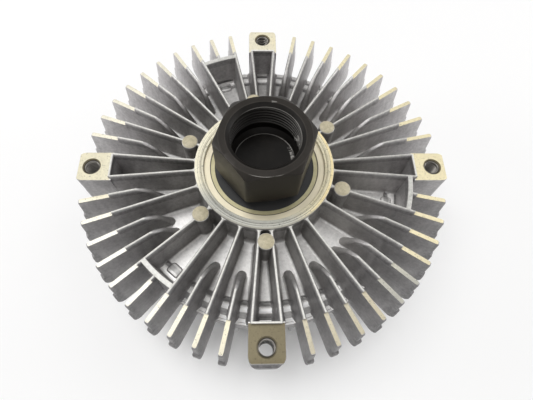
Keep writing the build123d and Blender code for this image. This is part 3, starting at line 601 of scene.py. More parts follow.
def black_steel_finish(settings):
    """Black oxide steel, warm and slightly cloudy, with painted shade in the socket and painted highlights in
    it, along some edges and on the thread turns.
    """
    finish = Finish("black_oxide_steel")
    x, y, z = (finish.place(axis) for axis in range(3))
    radius = finish.radius()
    cloud = finish.noise(0.16, 4, 0.6)
    grain = finish.noise(3.0, 3, 0.6)
    blotch = finish.noise(0.7, 3, 0.6).step(0.38, 0.58)
    face = z.step(21.1, 21.4)

    # Painted highlights on the socket floor, on its wall and on the thread
    floor_glint = radius.band(9.9, 10.8, 0.35) * z.band(5.4, 5.8, 0.2)
    floor_glint = floor_glint * x.step(8.0, 9.6) * y.band(0.3, 4.6, 0.9)
    wall_glint = radius.band(11.9, 13.0, 0.2) * z.band(8.0, 11.4, 0.5)
    wall_glint = wall_glint * x.step(8.0, 9.5) * y.band(4.2, 6.6, 0.8)
    turn_glint = radius.band(11.9, 12.6, 0.2) * z.band(11.5, 15.0, 0.8)
    turn_glint = turn_glint * x.step(9.0, 10.5) * y.band(1.0, 4.0, 0.8)
    socket_glints = (floor_glint + wall_glint * 1.6 + turn_glint * 0.5) * blotch * 0.6

    # Painted highlights along edges and thread turns, and on a nick in the top face
    front_edge = radius.band(16.0, 16.08, 0.05) * face * y.below(-15.8, -14.8)
    nick = x.band(2.4, 3.9, 0.3) * y.step(13.2, 13.4) * radius.below(14.2, 14.3) * face
    floor_edge = radius.band(10.95, 11.2, 0.06) * z.band(5.4, 5.6, 0.05) * y.step(1, 6)
    first_turn = radius.band(12.2, 12.7, 0.15) * z.band(19.7, 20.15, 0.15)
    first_turn = first_turn * (x + y * 1.4).step(2.0, 12.0)
    turns = radius.band(11.9, 12.3, 0.15) * z.band(11.0, 20.2, 0.1)
    turns = turns * (0.02 + (x + y * 0.5).step(0, 12) * 0.10)
    painted_highlights = socket_glints + front_edge * 0.5 + nick * 0.25 + first_turn * 0.2 + floor_edge * 0.3 + turns

    # Painted shade inside the socket
    bore = radius.below(13.45, 13.7)
    edges = (radius.band(15.8, 16.1, 0.1) + radius.band(13.6, 13.85, 0.1)) * face
    tone = finish.tint(settings.steel, 1.0 + (cloud - 0.5) * 0.9 - bore * 0.6)
    tone = finish.mix((cloud.step(0.62, 0.8) * 0.2 + edges * 0.15).clamp(), tone, settings.worn)
    tone = finish.mix(painted_highlights.clamp(), tone, settings.bright)
    return finish.surface(tone, 0.2, 0.42 + (cloud - 0.5) * 0.2, finish.bump(grain, 0.03, 0.35), 0.15)


def bearing_ring_finish(settings):
    """Ground bearing steel with a warm tone, and painted shade in the dark gap beside the seal."""
    finish = Finish("bearing_ring_steel")
    lines = finish.rings(6.0)
    cloud = finish.noise(0.12, 3, 0.5)
    tone = finish.tint(settings.ring, 1.0 + (lines - 0.5) * 0.22 + (cloud - 0.5) * 0.35)
    # Painted shade in the gap beside the seal
    gap = finish.radius().band(20.0, 20.5, 0.15)
    tone = finish.mix(gap, tone, settings.gap)
    rough = 0.38 + (cloud - 0.5) * 0.2
    return finish.surface(tone, 0.45 - gap * 0.4, rough, finish.bump(lines, 0.02, 0.4))


def cover_finish(settings):
    """Cast aluminium of the front cover, rubbed paler on the fin tips and the boss round the pin."""
    finish = Finish("cast_aluminium_front")
    z = finish.place(2)
    grain = finish.noise(2.0, 4, 0.6)
    cloud = finish.noise(0.12, 3, 0.5)
    tone = finish.tint(settings.skin, 1.0 + (cloud - 0.5) * 0.4 + (grain - 0.5) * 0.3)
    tips = z.below(-41.9, -41.5)
    boss = finish.radius().below(6.3, 6.5) * z.below(-34.3, -34.1)
    rubbed = (tips + boss).clamp()
    tone = finish.mix(rubbed * 0.85, tone, finish.tint(settings.tips, 1.0 + (grain - 0.5) * 0.3))
    normal = finish.bump(grain * (1 - rubbed * 0.6), 0.06, 0.6)
    return finish.surface(tone, 0.6 - rubbed * 0.2, 0.48 + (grain - 0.5) * 0.2, normal)


def strip_finish(settings):
    """Rolled bimetal: copper coloured towards the dome and grey outside."""
    finish = Finish("bimetal")
    x, z = finish.place(0), finish.place(2)
    rolled = finish.noise(0.6, 3, 0.6, (0.08, 1, 1))
    level = z + x * x * (STRIP_BOW_MM / STRIP_HALF_MM**2)
    side = level.step(STRIP_MIDDLE_MM - 0.05, STRIP_MIDDLE_MM + 0.05)
    tone = finish.mix(side, settings.passive, settings.active)
    tone = finish.tint(tone, 1.0 + (rolled - 0.5) * 0.4)
    return finish.surface(tone, 0.8, 0.34 + (rolled - 0.5) * 0.25, finish.bump(rolled, 0.02, 0.5))


def seal_finish(settings):
    """Bearing seal: black rubber with a yellowish metal band at its rim."""
    finish = Finish("bearing_seal")
    cloud = finish.noise(0.5, 3, 0.5)
    band = finish.radius().band(18.85, 20.4, 0.15)
    tone = finish.tint(finish.mix(band, settings.seal, settings.band), 1.0 + (cloud - 0.5) * 0.4)
    return finish.surface(tone, band * 0.4, 0.55 - band * 0.2, finish.bump(cloud, 0.03, 0.4))


def rubber_finish(name, base):
    """Matt black rubber or moulding."""
    finish = Finish(name)
    cloud = finish.noise(0.8, 3, 0.6)
    tone = finish.tint(base, 0.8 + cloud * 0.5)
    return finish.surface(tone, 0.0, 0.6 + (cloud - 0.5) * 0.2, finish.bump(cloud, 0.03, 0.4))


def dress(material, *nodes):
    """Gives the nodes' own objects one material."""
    for node in nodes:
        shown = NODES[node].data.materials
        shown.clear()
        shown.append(material)


def add_object(name, data):
    """An object with that data, linked to the scene."""
    made = bpy.data.objects.new(name, data)
    bpy.context.scene.collection.objects.link(made)
    return made


def add_mesh(name, mesh, material):
    """An object from a finished bmesh, with one material."""
    data = bpy.data.meshes.new(name)
    mesh.to_mesh(data)
    mesh.free()
    data.materials.append(material)
    return add_object(name, data)


def make_piece(name, mesh, material, body, slot, *nodes, sharp=35):
    """A piece from a bmesh in millimetres, smooth up to a sharp angle in degrees. It stands for nodes."""
    bmesh.ops.remove_doubles(mesh, verts=mesh.verts, dist=WELD_MM)
    bmesh.ops.dissolve_degenerate(mesh, dist=WELD_MM, edges=mesh.edges)
    bmesh.ops.recalc_face_normals(mesh, faces=mesh.faces)
    limit = radians(sharp)
    for edge in mesh.edges:
        edge.smooth = edge.is_manifold and edge.calc_face_angle(0) < limit
    for face in mesh.faces:
        face.smooth = True
    mesh.transform(Matrix.Scale(MM, 4))
    made = add_mesh(name, mesh, material)
    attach(made, body)
    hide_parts(*nodes)


def skin(mesh, loops, cap_first=True, cap_last=True):
    """Joins closed loops of points, one above the other, into a wall, with caps at its ends."""
    rows = [[mesh.verts.new(point) for point in loop] for loop in loops]
    count = len(rows[0])
    for lower, upper in zip(rows, rows[1:]):
        for index in range(count):
            after = (index + 1) % count
            mesh.faces.new((lower[index], lower[after], upper[after], upper[index]))
    if cap_first:
        mesh.faces.new(reversed(rows[0]))
    if cap_last:
        mesh.faces.new(rows[-1])
    return rows


def lathe(mesh, profile, segments=192, start=0.0, turn=tau):
    """Turns a closed profile of (r, z) points about the axis. A part turn is capped at both ends."""
    whole = turn == tau
    rows = []
    for step in range(segments if whole else segments + 1):
        angle = start + turn * step / segments
        rows.append([mesh.verts.new((r * cos(angle), r * sin(angle), z)) for r, z in profile])
    count = len(profile)
    for one, other in zip(rows, rows[1:] + rows[:1] if whole else rows[1:]):
        for index in range(count):
            after = (index + 1) % count
            mesh.faces.new((one[index], other[index], other[after], one[after]))
    if not whole:
        mesh.faces.new(rows[0])
        mesh.faces.new(reversed(rows[-1]))


def rounded(corners, steps=4):
    """Points of a closed outline whose corners (x, y, radius) are rounded."""
    points = []
    for index, (x, y, radius) in enumerate(corners):
        if not radius:
            points.append((x, y))
            continue
        here = Vector((x, y))
        before = Vector(corners[index - 1][:2]) - here
        after = Vector(corners[(index + 1) % len(corners)][:2]) - here
        back = radius / tan(before.angle(after) / 2)
        back = min(back, before.length * 0.49, after.length * 0.49)
        first = here + before.normalized() * back
        last = here + after.normalized() * back
        for step in range(steps + 1):
            share = step / steps
            points.append(tuple(first.lerp(here, share).lerp(here.lerp(last, share), share)))
    return points


def quarter(steps):
    """Angles from 0 to 90 degrees in radians."""
    return [pi / 2 * step / steps for step in range(steps + 1)]


def circle(centre, radius, z, segments):
    """Points of a level circle."""
    return [
        (centre[0] + radius * cos(a), centre[1] + radius * sin(a), z)
        for a in (tau * step / segments for step in range(segments))
    ]


def both_sides(side, z):
    """Points (s, y) of the far side at a height, first mirrored on the way out and then on the way back."""
    return [(s, -y, z) for s, y in side] + [(s, y, z) for s, y in reversed(side)]


def turned_loops(loops, angle):
    """Loops turned about the axis by an angle in radians."""
    spin = Matrix.Rotation(angle, 4, "Z")
    return [[spin @ Vector(point) for point in loop] for loop in loops]


def fillet_flare(depth, radius):
    """How far a fillet of that radius stands out at a depth above its foot."""
    if depth >= radius:
        return 0.0
    if depth <= 0:
        return radius
    return radius - sqrt(radius**2 - (radius - depth) ** 2)


def interpolate(table, x):
    """Value at x of a table of (x, value) pairs in rising x."""
    for (x0, y0), (x1, y1) in zip(table, table[1:]):
        if x <= x1:
            return y0 + (y1 - y0) * max(0.0, (x - x0) / (x1 - x0))
    return table[-1][1]


def fin_half(settings, s, z):
    """Half thickness of a fin at radius s and height z, with its fillets to floor, ring and wall."""
    if z > 0:
        half = interpolate(CREST_MM, z)
    else:
        half = settings.land / MM / 2 - z * tan(settings.draft)
    foot = settings.foot_round / MM
    flare = 0.0
    if s < WALL_MM:
        flare = fillet_flare(z - interpolate(FLOOR_LINE_MM, s), foot)
    elif z < OUTSIDE_MM:
        flare = fillet_flare(s - WALL_MM, foot)
    if s < RING_MM + foot and z < CAST_TOP_MM - 0.1:
        flare = max(flare, fillet_flare(s - RING_MM, foot) * 0.8)
    underside_edge = 0.35 if z == FIN_LEVELS_MM[0] else 0.0
    return half - underside_edge + flare


def fin_loops(settings, start, short=False):
    """Loops of one fin on the X axis, from its foot up. Start is the radius of its inner end."""
    levels = [(z, False) for z in FIN_LEVELS_MM] + [(z, True) for z, _ in CREST_MM]
    loops = []
    for z, cast in levels:
        inner = interpolate(SCOOP_MM, z) if short else start
        if z < (-12.0 if short else -12.96):
            inner = UNDER_FLOOR_MM
        outer = MACHINED_FROM_MM if cast else interpolate(FREE_END_MM, z)
        corner = 0.05 if cast else 0.45
        nose = 0.3
        if short:
            nose = fin_half(settings, 45.0, z) if z > -2.7 else interpolate(NOSE_MM, z)
            loop = [
                (inner + nose + nose * cos(a), nose * sin(a), z)
                for a in (pi / 2 + pi * step / 6 for step in range(7))
            ]
        else:
            half = fin_half(settings, inner, z)
            loop = [(inner, half, z), (inner, -half, z)]
        stations = [min(max(s, inner + nose), outer - corner) for s in FIN_STATIONS_MM]
        side = [(s, fin_half(settings, s, z)) for s in stations]
        half = fin_half(settings, outer, z)
        for a in quarter(4)[1:4]:
            side.append((outer - corner + corner * sin(a), half - corner * (1 - cos(a))))
        side.append((outer, half - corner))
        loops.append(loop + both_sides(side, z))
    return loops


def fin_pitch(settings):
    """Angle between neighbouring fins of a quarter in radians."""
    return (pi / 2 - 2 * settings.first_fin) / (len(PATTERN[0]) - 1)


def fin_angles(settings, letter):
    """Angles in radians of the fins with that letter in the pattern."""
    return [
        pi / 2 * turn + settings.first_fin + fin_pitch(settings) * place
        for turn, row in enumerate(PATTERN)
        for place, mark in enumerate(row)
        if mark == letter
    ]


def add_tapped_bore(mesh, centre, minor, depth, pitch, low, high, segments, plain):
    """A threaded bore between two heights, and the plain walls that join it, as chains of (r, z) points."""
    shape = ((0.0, 0.0), (0.12, 0.0), (0.42, 1.0), (0.58, 1.0), (0.88, 0.0))
    rows = []
    for turn in range(-1, int((high - low) / pitch) + 2):
        for share, out in shape:
            row = []
            for step in range(segments + 1):
                z = low + (turn + share + step / segments) * pitch
                held = min(max(z, low), high)
                fade = min(1.0, (held - low) / pitch, (high - held) / pitch)
                r = minor + depth * out * fade
                angle = tau * step / segments
                row.append(mesh.verts.new(
                    (centre[0] + r * cos(angle), centre[1] + r * sin(angle), held)
                ))
            rows.append(row)
    for lower, upper in zip(rows, rows[1:]):
        for index in range(segments):
            mesh.faces.new((lower[index], upper[index], upper[index + 1], lower[index + 1]))
    for chain in plain:
        for ends in zip(chain, chain[1:]):
            skin(mesh, [circle(centre, r, z, segments) for r, z in ends], False, False)


def lug_loops():
    """Loops of one bolt lug on the X axis, from its foot to its machined top."""
    centre = BOLT_CIRCLE_MM + LUG_HALF_MM - LUG_CORNER_MM
    loops = []
    for z in LUG_LEVELS_MM:
        inner = LUG_INNER_MM if z > -12.9 else WALL_MM - 0.5
        outer = interpolate(LUG_END_MM, z)
        half = LUG_HALF_MM - (0.1 if z == 0 else 0.0)
        side = [
            (min(centre + LUG_CORNER_MM * sin(a), outer), half - LUG_CORNER_MM * (1 - cos(a)))
            for a in quarter(8)
        ]
        loops.append([(inner, half, z), (inner, -half, z)] + both_sides(side, z))
    return loops


def add_lug(mesh, angle):
    """One bolt lug with its tapped hole and the cast strip along its inner edge."""
    before = set(mesh.verts)
    rows = skin(mesh, lug_loops(), False, False)
    centre = (BOLT_CIRCLE_MM, 0)
    segments = 40
    bottom, top = LUG_LEVELS_MM[0], LUG_LEVELS_MM[-1]
    for row, radius, z in ((rows[0], TAP_MM, bottom), (rows[-1], TAP_MOUTH_MM, top)):
        ring = [mesh.verts.new(point) for point in circle(centre, radius, z, segments)]
        edges = []
        for loop in (row, ring):
            for pair in zip(loop, loop[1:] + loop[:1]):
                edges.append(mesh.edges.get(pair) or mesh.edges.new(pair))
        bmesh.ops.triangle_fill(mesh, edges=edges, use_beauty=True)
    low, high = bottom + 0.7, top - 0.8
    mouth = ((TAP_MOUTH_MM, top), TAP_CHAMFER_MM, (TAP_MM, high))
    foot = ((TAP_MM, low), (TAP_MM, bottom))
    add_tapped_bore(mesh, centre, TAP_MM, 0.5, 1.0, low, high, segments, (mouth, foot))
    strip = []
    for z, inset in ((-0.3, 0.0), (0.95, 0.0), (1.2, 0.12), (CAST_TOP_MM, 0.3)):
        half = STRIP_ON_LUG_MM - inset
        inner, outer = LUG_INNER_MM + inset, MACHINED_FROM_MM - inset * 0.3
        strip.append([(inner, -half, z), (outer, -half, z), (outer, half, z), (inner, half, z)])
    skin(mesh, strip)
    made = [vert for vert in mesh.verts if vert not in before]
    bmesh.ops.transform(mesh, matrix=Matrix.Rotation(angle, 4, "Z"), verts=made)


def casting_profile():
    """Outline of the turned body of the rear casting as (r, z) points, with its edges rounded."""
    low = span_mm("rear_housing")[0].z
    corners = (
        (FLOOR_EDGE_MM, GROOVE_MM, 0.15), (FLOOR_EDGE_MM, FLOOR_MM, 0.25), (RING_MM, FLOOR_MM, 3.1),
        (RING_MM, 2.1, 0.45), (24.0, 2.1, 0.15), (23.75, 1.8, 0.1), (22.85, 1.8, 0.35), (22.85, 0.7, 0),
        (23.5, 0.7, 0), (23.5, -13.3, 0), (20.5, -13.3, 0.2), (20.5, -15.0, 0.3), (51.6, -15.0, 0.5),
        (51.6, -18.0, 0.2), (55.4, -18.0, 0), (55.4, -22.2, 0), (53.9, -22.2, 0.1), (53.9, low, 0.35),
        (WALL_MM, low, 0.6), (WALL_MM, -14.0, 0.3), (57.4, -13.7, 0.2), (57.4, -12.7, 0.5),
        (56.4, -12.7, 0.1), (56.4, -12.3, 0.2), (55.0, -12.3, 0.2), (55.0, -12.1, 0.1),
        (54.6, GROOVE_MM, 0.1),
    )
    bead_half, bead_rise, steps = 2.6, 1.0, 12
    shares = [1 - 2 * step / steps for step in range(1, steps)]
    bead = [(BEAD_MM + bead_half * share, GROOVE_MM + bead_rise * (1 - share**2)) for share in shares]
    return rounded(corners) + bead


def add_cross_rib(mesh, settings, middle):
    """One cross-rib between two long fins, round the axis about a middle angle, with a rounded crest."""
    crest = rounded([
        (53.7, OUTSIDE_MM, 0), (54.5, CAST_TOP_MM, 0.35), (56.3, CAST_TOP_MM, 0.35), (WALL_MM, -12.6, 0),
    ])
    section = [(53.2, -12.6)] + crest[:-1] + [(WALL_MM, -13.2), (53.2, -13.2)]
    pitch = fin_pitch(settings)
    lathe(mesh, section, 16, middle - pitch, 2 * pitch)


def add_post(mesh, angle):
    """One round post on the floor, with a flat top, a small chamfer and a fillet at its foot."""
    centre = (POST_CIRCLE_MM * cos(angle), POST_CIRCLE_MM * sin(angle))
    profile = (
        (4.2, -11.5), (4.2, -11.0), (3.6, -10.8), (3.25, -10.4), (3.12, -9.8), (3.1, -9.0), (3.1, 1.1),
        (3.0, 1.3), (2.7, 1.5),
    )
    skin(mesh, [circle(centre, r, z, 40) for r, z in profile])


def add_pad(mesh, angle):
    """One small raised pad with a sloped rim on the floor inside a cross-rib."""
    inner, outer, half = 47.85, 51.35, 2.25
    loops = []
    for grow, z in ((0.45, -12.2), (0.45, -11.0), (-0.05, -10.5), (-0.15, -10.45)):
        outline = rounded([
            (inner - grow, -half - grow, 1.2 + grow), (outer + grow, -half - grow, 0.6 + grow),
            (outer + grow, half + grow, 0.6 + grow), (inner - grow, half + grow, 1.2 + grow),
        ], 5)
        loops.append([(x, y, z) for x, y in outline])
    skin(mesh, turned_loops(loops, angle))


def build_casting(settings):
    """The rear casting: turned body, fins, ribs, lugs, cross-ribs, posts and pads."""
    mesh = bmesh.new()
    lathe(mesh, casting_profile())
    long_fin = fin_loops(settings, LONG_FROM_MM)
    short_fin = fin_loops(settings, SHORT_FROM_MM, short=True)
    stub_fin = fin_loops(settings, STUB_FROM_MM)
    for letter, loops in (("l", long_fin), ("s", short_fin), ("o", stub_fin)):
        for angle in fin_angles(settings, letter):
            skin(mesh, turned_loops(loops, angle))
    lug_rib = [
        [(min(s, 57.6 if z > -12.9 else 56.9), y, max(z, -14.0)) for s, y, z in loop] for loop in long_fin
    ]
    for side in range(4):
        middle = pi / 2 * side
        add_lug(mesh, middle)
        for away in (-settings.rib_angle, settings.rib_angle):
            skin(mesh, turned_loops(lug_rib, middle + away))
    for angle in fin_angles(settings, "o"):
        add_cross_rib(mesh, settings, angle)
        add_pad(mesh, angle)
    for angle in POST_DEGREES:
        add_post(mesh, radians(angle))
    return mesh


def hex_radius(angle, apothem):
    """Radius of a hexagon with softened corners at an angle from one corner."""
    share = angle % (pi / 3) - pi / 6
    return min(apothem / cos(share), apothem * 2 / sqrt(3) * 0.985)


def build_hub(settings):
    """The drive hub: chamfered nut head, tapped mouth, relief, collar and shaft."""
    segments = 192
    low, high = (corner.z for corner in span_mm("drive_hub"))
    apothem = settings.flats / MM / 2
    angles = [settings.turn + tau * (step + 0.5) / segments for step in range(segments)]
    radii = [hex_radius(angle - settings.turn, apothem) for angle in angles]
    chamfer = tan(radians(30))
    edge = [(r, (r - apothem) * chamfer) for r in radii]
    head = [
        [((apothem + r) / 2, high - drop / 2 - 0.04) for r, drop in edge],
        [(r - 0.12, high - drop - 0.1) for r, drop in edge],
        [(r, high - drop - 0.28) for r, drop in edge],
        [(r, 12.0) for r in radii],
        [(r, NUT_FOOT_MM + drop + 0.28) for r, drop in edge],
        [(r - 0.15, NUT_FOOT_MM + drop + 0.08) for r, drop in edge],
    ]
    top = ((MOUTH_MM + 0.1, high), (MOUTH_MM + 0.4, high), (15.9, high))
    shaft = (
        (apothem, NUT_FOOT_MM), (13.4, NUT_FOOT_MM), (13.4, 0.7), (10.0, 0.7), (10.0, -13.3), (8.5, -13.3),
        (8.5, low),
    )
    loops = [[point] * segments for point in top] + head + [[point] * segments for point in shaft]
    loops = [[(r * cos(a), r * sin(a), z) for (r, z), a in zip(loop, angles)] for loop in loops]
    mesh = bmesh.new()
    skin(mesh, loops, cap_first=False)
    mouth = ((MOUTH_MM + 0.1, high), (MOUTH_MM - 0.1, high - 0.1), (THREAD_MM, THREAD_HIGH_MM))
    socket = (
        (THREAD_MM, THREAD_LOW_MM), (RELIEF_MM, 10.3), (RELIEF_MM, 7.3), (11.4, 5.75), (11.25, 5.58),
        (10.95, SOCKET_FLOOR_MM), (0.01, SOCKET_FLOOR_MM),
    )
    depth, pitch = settings.depth / MM, settings.pitch / MM
    add_tapped_bore(
        mesh, (0, 0), THREAD_MM, depth, pitch, THREAD_LOW_MM, THREAD_HIGH_MM, segments, (mouth, socket)
    )
    return mesh


def cover_profile():
    """Outline of the turned body of the front cover as (r, z) points, ridges and seal groove included."""
    foot, crest = -22.0, -18.6
    points = rounded(COVER_CORNERS_MM)
    for middle in COVER_RIDGES_MM:
        inner, outer = middle - RIDGE_HALF_MM, middle + RIDGE_HALF_MM
        points += [(inner, foot), (inner, crest), (outer, crest), (outer, foot)]
    return points + [(51.6, foot), (51.6, -18.0), (52.5, -18.0), (52.5, -19.3), (54.3, -19.3), (54.3, -18.0)]


def cover_fin_loops(settings):
    """Loops of one cover fin on the X axis, from its root in the body to its rounded tip."""
    tip = span_mm("front_cover")[0].z
    loops = []
    for z in (*COVER_FIN_LEVELS_MM, tip):
        rise = z - tip
        half = settings.fin_tip / MM / 2 + rise * tan(settings.fin_draft)
        half += fillet_flare(COVER_BACK_MM - z, 1.2)
        half -= COVER_FIN_EDGE_MM * (1 - min(1.0, rise / COVER_FIN_EDGE_MM)) ** 2
        inner = COVER_FIN_INNER_MM + max(0.0, COVER_SLOPE_MM - z) * 4.5 / 10.5
        over = max(0.0, COVER_FIN_CORNER_MM - rise)
        outer = COVER_FIN_OUTER_MM - COVER_FIN_CORNER_MM + sqrt(COVER_FIN_CORNER_MM**2 - over**2)
        side = [(max(inner, min(s, outer - half - 0.1)), half) for s in (35.0, 42.0, 52.0)]
        side += [(outer - half * (1 - sin(a)), half * cos(a)) for a in quarter(4)]
        around = both_sides(side, z)
        del around[len(side)]
        loops.append([(inner, half, z), (inner, -half, z)] + around)
    return loops


def build_cover(settings):
    """The front cover: turned body and its fins."""
    mesh = bmesh.new()
    lathe(mesh, cover_profile())
    loops = cover_fin_loops(settings)
    for fin in range(settings.fin_count):
        skin(mesh, turned_loops(loops, tau * fin / settings.fin_count))
    return mesh


def build_strip():
    """The bimetal strip: a rounded section along its bow."""
    half, thick, steps = span_mm("bimetal_strip")[1].y, STRIP_THICK_MM / 2, 24
    section = rounded([(-half, -thick, 0.3), (half, -thick, 0.3), (half, thick, 0.3), (-half, thick, 0.3)], 3)
    loops = []
    for step in range(-steps, steps + 1):
        share = step / steps
        inset = 0.25 if abs(step) == steps else 0.0
        middle = STRIP_MIDDLE_MM - STRIP_BOW_MM * share**2
        loops.append([
            (share * STRIP_HALF_MM, y * (1 - inset / half), middle + z * (1 - inset)) for y, z in section
        ])
    mesh = bmesh.new()
    skin(mesh, loops)
    return mesh


def build_holder(node, side):
    """One folded sheet holder with rounded bends, on the +X or -X side."""
    low, high = span_mm(node)
    foot, end = (low.x, high.x) if side > 0 else (-high.x, -low.x)
    bottom, top = low.z + HOLDER_SHEET_MM, high.z - HOLDER_SHEET_MM
    outline = rounded([
        (foot, high.z, 0.15), (end, high.z, 1.7), (end, low.z, 1.7), (end - HOLDER_HOOK_MM, low.z, 0.2),
        (end - HOLDER_HOOK_MM, bottom, 0.2), (end - HOLDER_SHEET_MM, bottom, 0.6),
        (end - HOLDER_SHEET_MM, top, 0.6), (foot, top, 0.15),
    ], 5)
    mesh = bmesh.new()
    skin(mesh, [[(side * x, y, z) for x, z in outline] for y in (low.y, high.y)])
    rims = [edge for edge in mesh.edges if abs(edge.verts[0].co.y - edge.verts[1].co.y) < 0.01]
    bmesh.ops.bevel(mesh, geom=rims, offset=0.12, segments=1, affect="EDGES")
    return mesh


def build_rivets():
    """Four rivets with domed heads under the holders."""
    low, high = span_mm("holder_rivets")
    rim = RIVET_SEAT_MM - RIVET_RIM_MM
    profile = [
        (RIVET_SHANK_MM, high.z), (RIVET_SHANK_MM, RIVET_SEAT_MM), (RIVET_HEAD_MM, RIVET_SEAT_MM),
        (RIVET_HEAD_MM, rim),
    ]
    profile += [(RIVET_HEAD_MM * cos(a), rim + (low.z - rim) * sin(a)) for a in quarter(6)[1:6]]
    mesh = bmesh.new()
    for x in (low.x + RIVET_HEAD_MM, high.x - RIVET_HEAD_MM):
        for y in (low.y + RIVET_HEAD_MM, high.y - RIVET_HEAD_MM):
            skin(mesh, [circle((x, y), r, z, 28) for r, z in profile])
    return mesh


def build_stage(settings):
    """A pale floor under the part. Round the part, the camera sees it partly as plain white."""
    finish = Finish("studio_floor")
    plain = finish.node("ShaderNodeBsdfDiffuse", {}, {0: settings.floor})
    white = finish.node("ShaderNodeEmission", {}, {0: (1, 1, 1), 1: 1.0})
    seen = finish.background() * finish.radius().step(58, 82) * settings.seen_white
    finish.end("ShaderNodeMixShader", {0: seen, 1: plain.outputs[0], 2: white.outputs[0]})
    half, below = 3.0, 0.0001
    corners = ((-half, -half), (half, -half), (half, half), (-half, half))
    mesh = bmesh.new()
    mesh.faces.new([mesh.verts.new((x, y, CAD_BOX[0][2] - below)) for x, y in corners])
    add_mesh("studio_floor", mesh, finish.material)


def build_surroundings(settings):
    """A world that shows white and lights the part at its ambient strength."""
    world = bpy.data.worlds.new("studio")
    bpy.context.scene.world = world
    shading = Shading(world, "ShaderNodeOutputWorld")
    dim = shading.node("ShaderNodeBackground", {}, {0: (1, 1, 1), 1: settings.ambient})
    white = shading.node("ShaderNodeBackground", {}, {0: (1, 1, 1), 1: 1.0})
    shading.end("ShaderNodeMixShader", {0: shading.background(), 1: dim.outputs[0], 2: white.outputs[0]})


def add_lamp(name, place, size, power):
    """A square soft lamp aimed at the part, with its power in watts."""
    data = bpy.data.lights.new(name, "AREA")
    data.size = size
    data.energy = power
    lamp = add_object(name, data)
    lamp.location = place
    lamp.rotation_euler = (-Vector(place)).to_track_quat("-Z", "Y").to_euler()


def add_camera(settings):
    """The camera at the photograph's place, from its target, distance and angles."""
    azimuth, elevation, roll = settings.azimuth, settings.elevation, settings.roll
    level = Vector((sin(azimuth), -cos(azimuth), 0)) * cos(elevation)
    back = level + Vector((0, 0, sin(elevation)))
    right = Vector((cos(azimuth), sin(azimuth), 0))
    up = back.cross(right)
    across = right * cos(roll) + up * sin(roll)
    rise = up * cos(roll) - right * sin(roll)
    data = bpy.data.cameras.new("camera")
    data.lens = settings.lens
    data.sensor_width = 36.0
    data.clip_start = 0.001
    camera = add_object("camera", data)
    axes = Matrix((across, rise, back)).transposed().to_4x4()
    camera.matrix_world = Matrix.Translation(Vector(settings.target) + back * settings.distance) @ axes
    bpy.context.scene.camera = camera


class FANCLUTCH_OT_casting(bpy.types.Operator):
    """Builds the rear casting with its fins, lugs, ribs and posts"""

    bl_idname = "fanclutch.casting"
    bl_label = "Rear Casting"

    def execute(self, context):
        settings = context.scene.fan_clutch.casting
        make_piece(
            "rear_casting", build_casting(settings), casting_finish(settings),
            "housing", "cast_housing", "rear_housing",
        )
        return {"FINISHED"}


class FANCLUTCH_OT_hub(bpy.types.Operator):
    """Builds the drive hub with its nut head, thread and shaft"""

    bl_idname = "fanclutch.hub"
    bl_label = "Drive Hub"

    def execute(self, context):
        settings = context.scene.fan_clutch.hub
        make_piece(
            "nut_and_shaft", build_hub(settings), black_steel_finish(settings),
            "drive", "black_steel", "drive_hub", sharp=26,
        )
        return {"FINISHED"}


class FANCLUTCH_OT_bearing(bpy.types.Operator):
    """Finishes the rings, balls, cage and seals of the bearing"""

    bl_idname = "fanclutch.bearing"
    bl_label = "Bearing"

    def execute(self, context):
        settings = context.scene.fan_clutch.inside
        dress(bearing_ring_finish(settings), "bearing_outer_ring", "bearing_inner_ring")
        dress(turned_finish("ball_steel", settings.balls, 1.0, 0.12, 9.0), "bearing_balls")
        dress(rubber_finish("cage_moulding", settings.rubber), "bearing_cage")
        dress(seal_finish(settings), "bearing_rear_seal", "bearing_front_seal")
        return {"FINISHED"}


class FANCLUTCH_OT_cover(bpy.types.Operator):
    """Finishes the front cover, its seal, the strip and its holders"""

    bl_idname = "fanclutch.cover"
    bl_label = "Front Cover"

    def execute(self, context):
        settings = context.scene.fan_clutch.cover
        make_piece(
            "finned_front_cover", build_cover(settings), cover_finish(settings),
            "housing", "cast_cover", "front_cover",
        )
        make_piece(
            "bowed_strip", build_strip(), strip_finish(settings), "thermostat", "bimetal", "bimetal_strip"
        )
        plated = cast_finish("zinc_plate", settings.plated, 0.7, 0.36)
        for node, side in (("strip_holder_right", 1), ("strip_holder_left", -1)):
            make_piece("folded_" + node, build_holder(node, side), plated, "housing", "holder_steel", node)
        make_piece("domed_rivets", build_rivets(), plated, "housing", "screw_steel", "holder_rivets")
        rubber = context.scene.fan_clutch.inside.rubber
        dress(rubber_finish("cover_seal_rubber", rubber), "cover_seal")
        return {"FINISHED"}


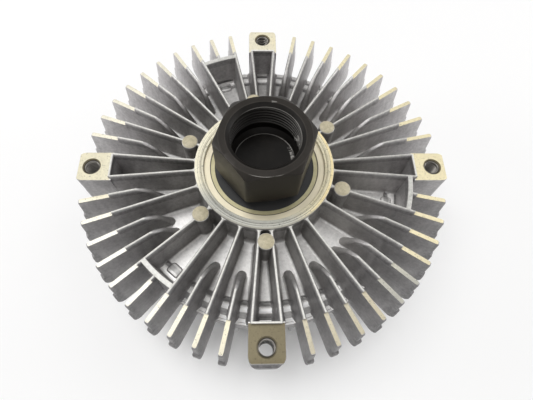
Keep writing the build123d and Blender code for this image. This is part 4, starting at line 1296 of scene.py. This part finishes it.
class FANCLUTCH_OT_inside(bpy.types.Operator):
    """Finishes the rotor, the partition plate, the valve and the control pin"""

    bl_idname = "fanclutch.inside"
    bl_label = "Inner Pieces"

    def execute(self, context):
        settings = context.scene.fan_clutch.inside
        dress(turned_finish("rotor_aluminium", settings.rotor, 0.8, 0.34, 4.0), "rotor")
        dress(cast_finish("plate_steel", settings.plate, 0.8, 0.32), "partition_plate")
        dress(cast_finish("screw_steel", settings.screws, 0.8, 0.34), "partition_screws", "valve_rivet")
        dress(cast_finish("spring_steel", settings.lever, 0.9, 0.28), "valve_lever")
        dress(cast_finish("pin_brass", settings.pin, 0.9, 0.3), "control_pin")
        dress(rubber_finish("pin_seal_rubber", settings.rubber), "control_pin_seal")
        return {"FINISHED"}


class FANCLUTCH_OT_studio(bpy.types.Operator):
    """Sets up the camera, the pale floor, the lamps and the background"""

    bl_idname = "fanclutch.studio"
    bl_label = "Studio"

    def execute(self, context):
        settings = context.scene.fan_clutch.stage
        context.scene.view_settings.view_transform = "Standard"
        add_camera(settings)
        build_stage(settings)
        build_surroundings(settings)
        for lamp in LAMPS:
            add_lamp(*lamp)
        return {"FINISHED"}


OPERATORS = (
    FANCLUTCH_OT_studio,
    FANCLUTCH_OT_casting,
    FANCLUTCH_OT_hub,
    FANCLUTCH_OT_bearing,
    FANCLUTCH_OT_cover,
    FANCLUTCH_OT_inside,
)


class FANCLUTCH_PT_panel(bpy.types.Panel):
    """Lists the steps of the fan clutch"""

    bl_label = "Fan Clutch"
    bl_idname = "FANCLUTCH_PT_panel"
    bl_space_type = "VIEW_3D"
    bl_region_type = "UI"
    bl_category = "Fan Clutch"

    def draw(self, context):
        settings = context.scene.fan_clutch
        for step in OPERATORS:
            self.layout.operator(step.bl_idname)
        for part in FanClutchSettings.__annotations__:
            group = getattr(settings, part)
            for name in group.__annotations__:
                self.layout.prop(group, name)


CLASSES = (
    CastingSettings, HubSettings, CoverSettings, InsideSettings, StageSettings, FanClutchSettings, *OPERATORS,
    FANCLUTCH_PT_panel,
)


def register():
    """Registers the classes and the scene's settings."""
    for item in CLASSES:
        bpy.utils.register_class(item)
    bpy.types.Scene.fan_clutch = PointerProperty(type=FanClutchSettings)


def unregister():
    """Removes the scene's settings and the classes."""
    del bpy.types.Scene.fan_clutch
    for item in reversed(CLASSES):
        bpy.utils.unregister_class(item)


def main():
    """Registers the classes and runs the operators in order."""
    register()
    bpy.ops.fanclutch.studio()
    bpy.ops.fanclutch.casting()
    bpy.ops.fanclutch.hub()
    bpy.ops.fanclutch.bearing()
    bpy.ops.fanclutch.cover()
    bpy.ops.fanclutch.inside()


if __name__ == "__main__":
    main()
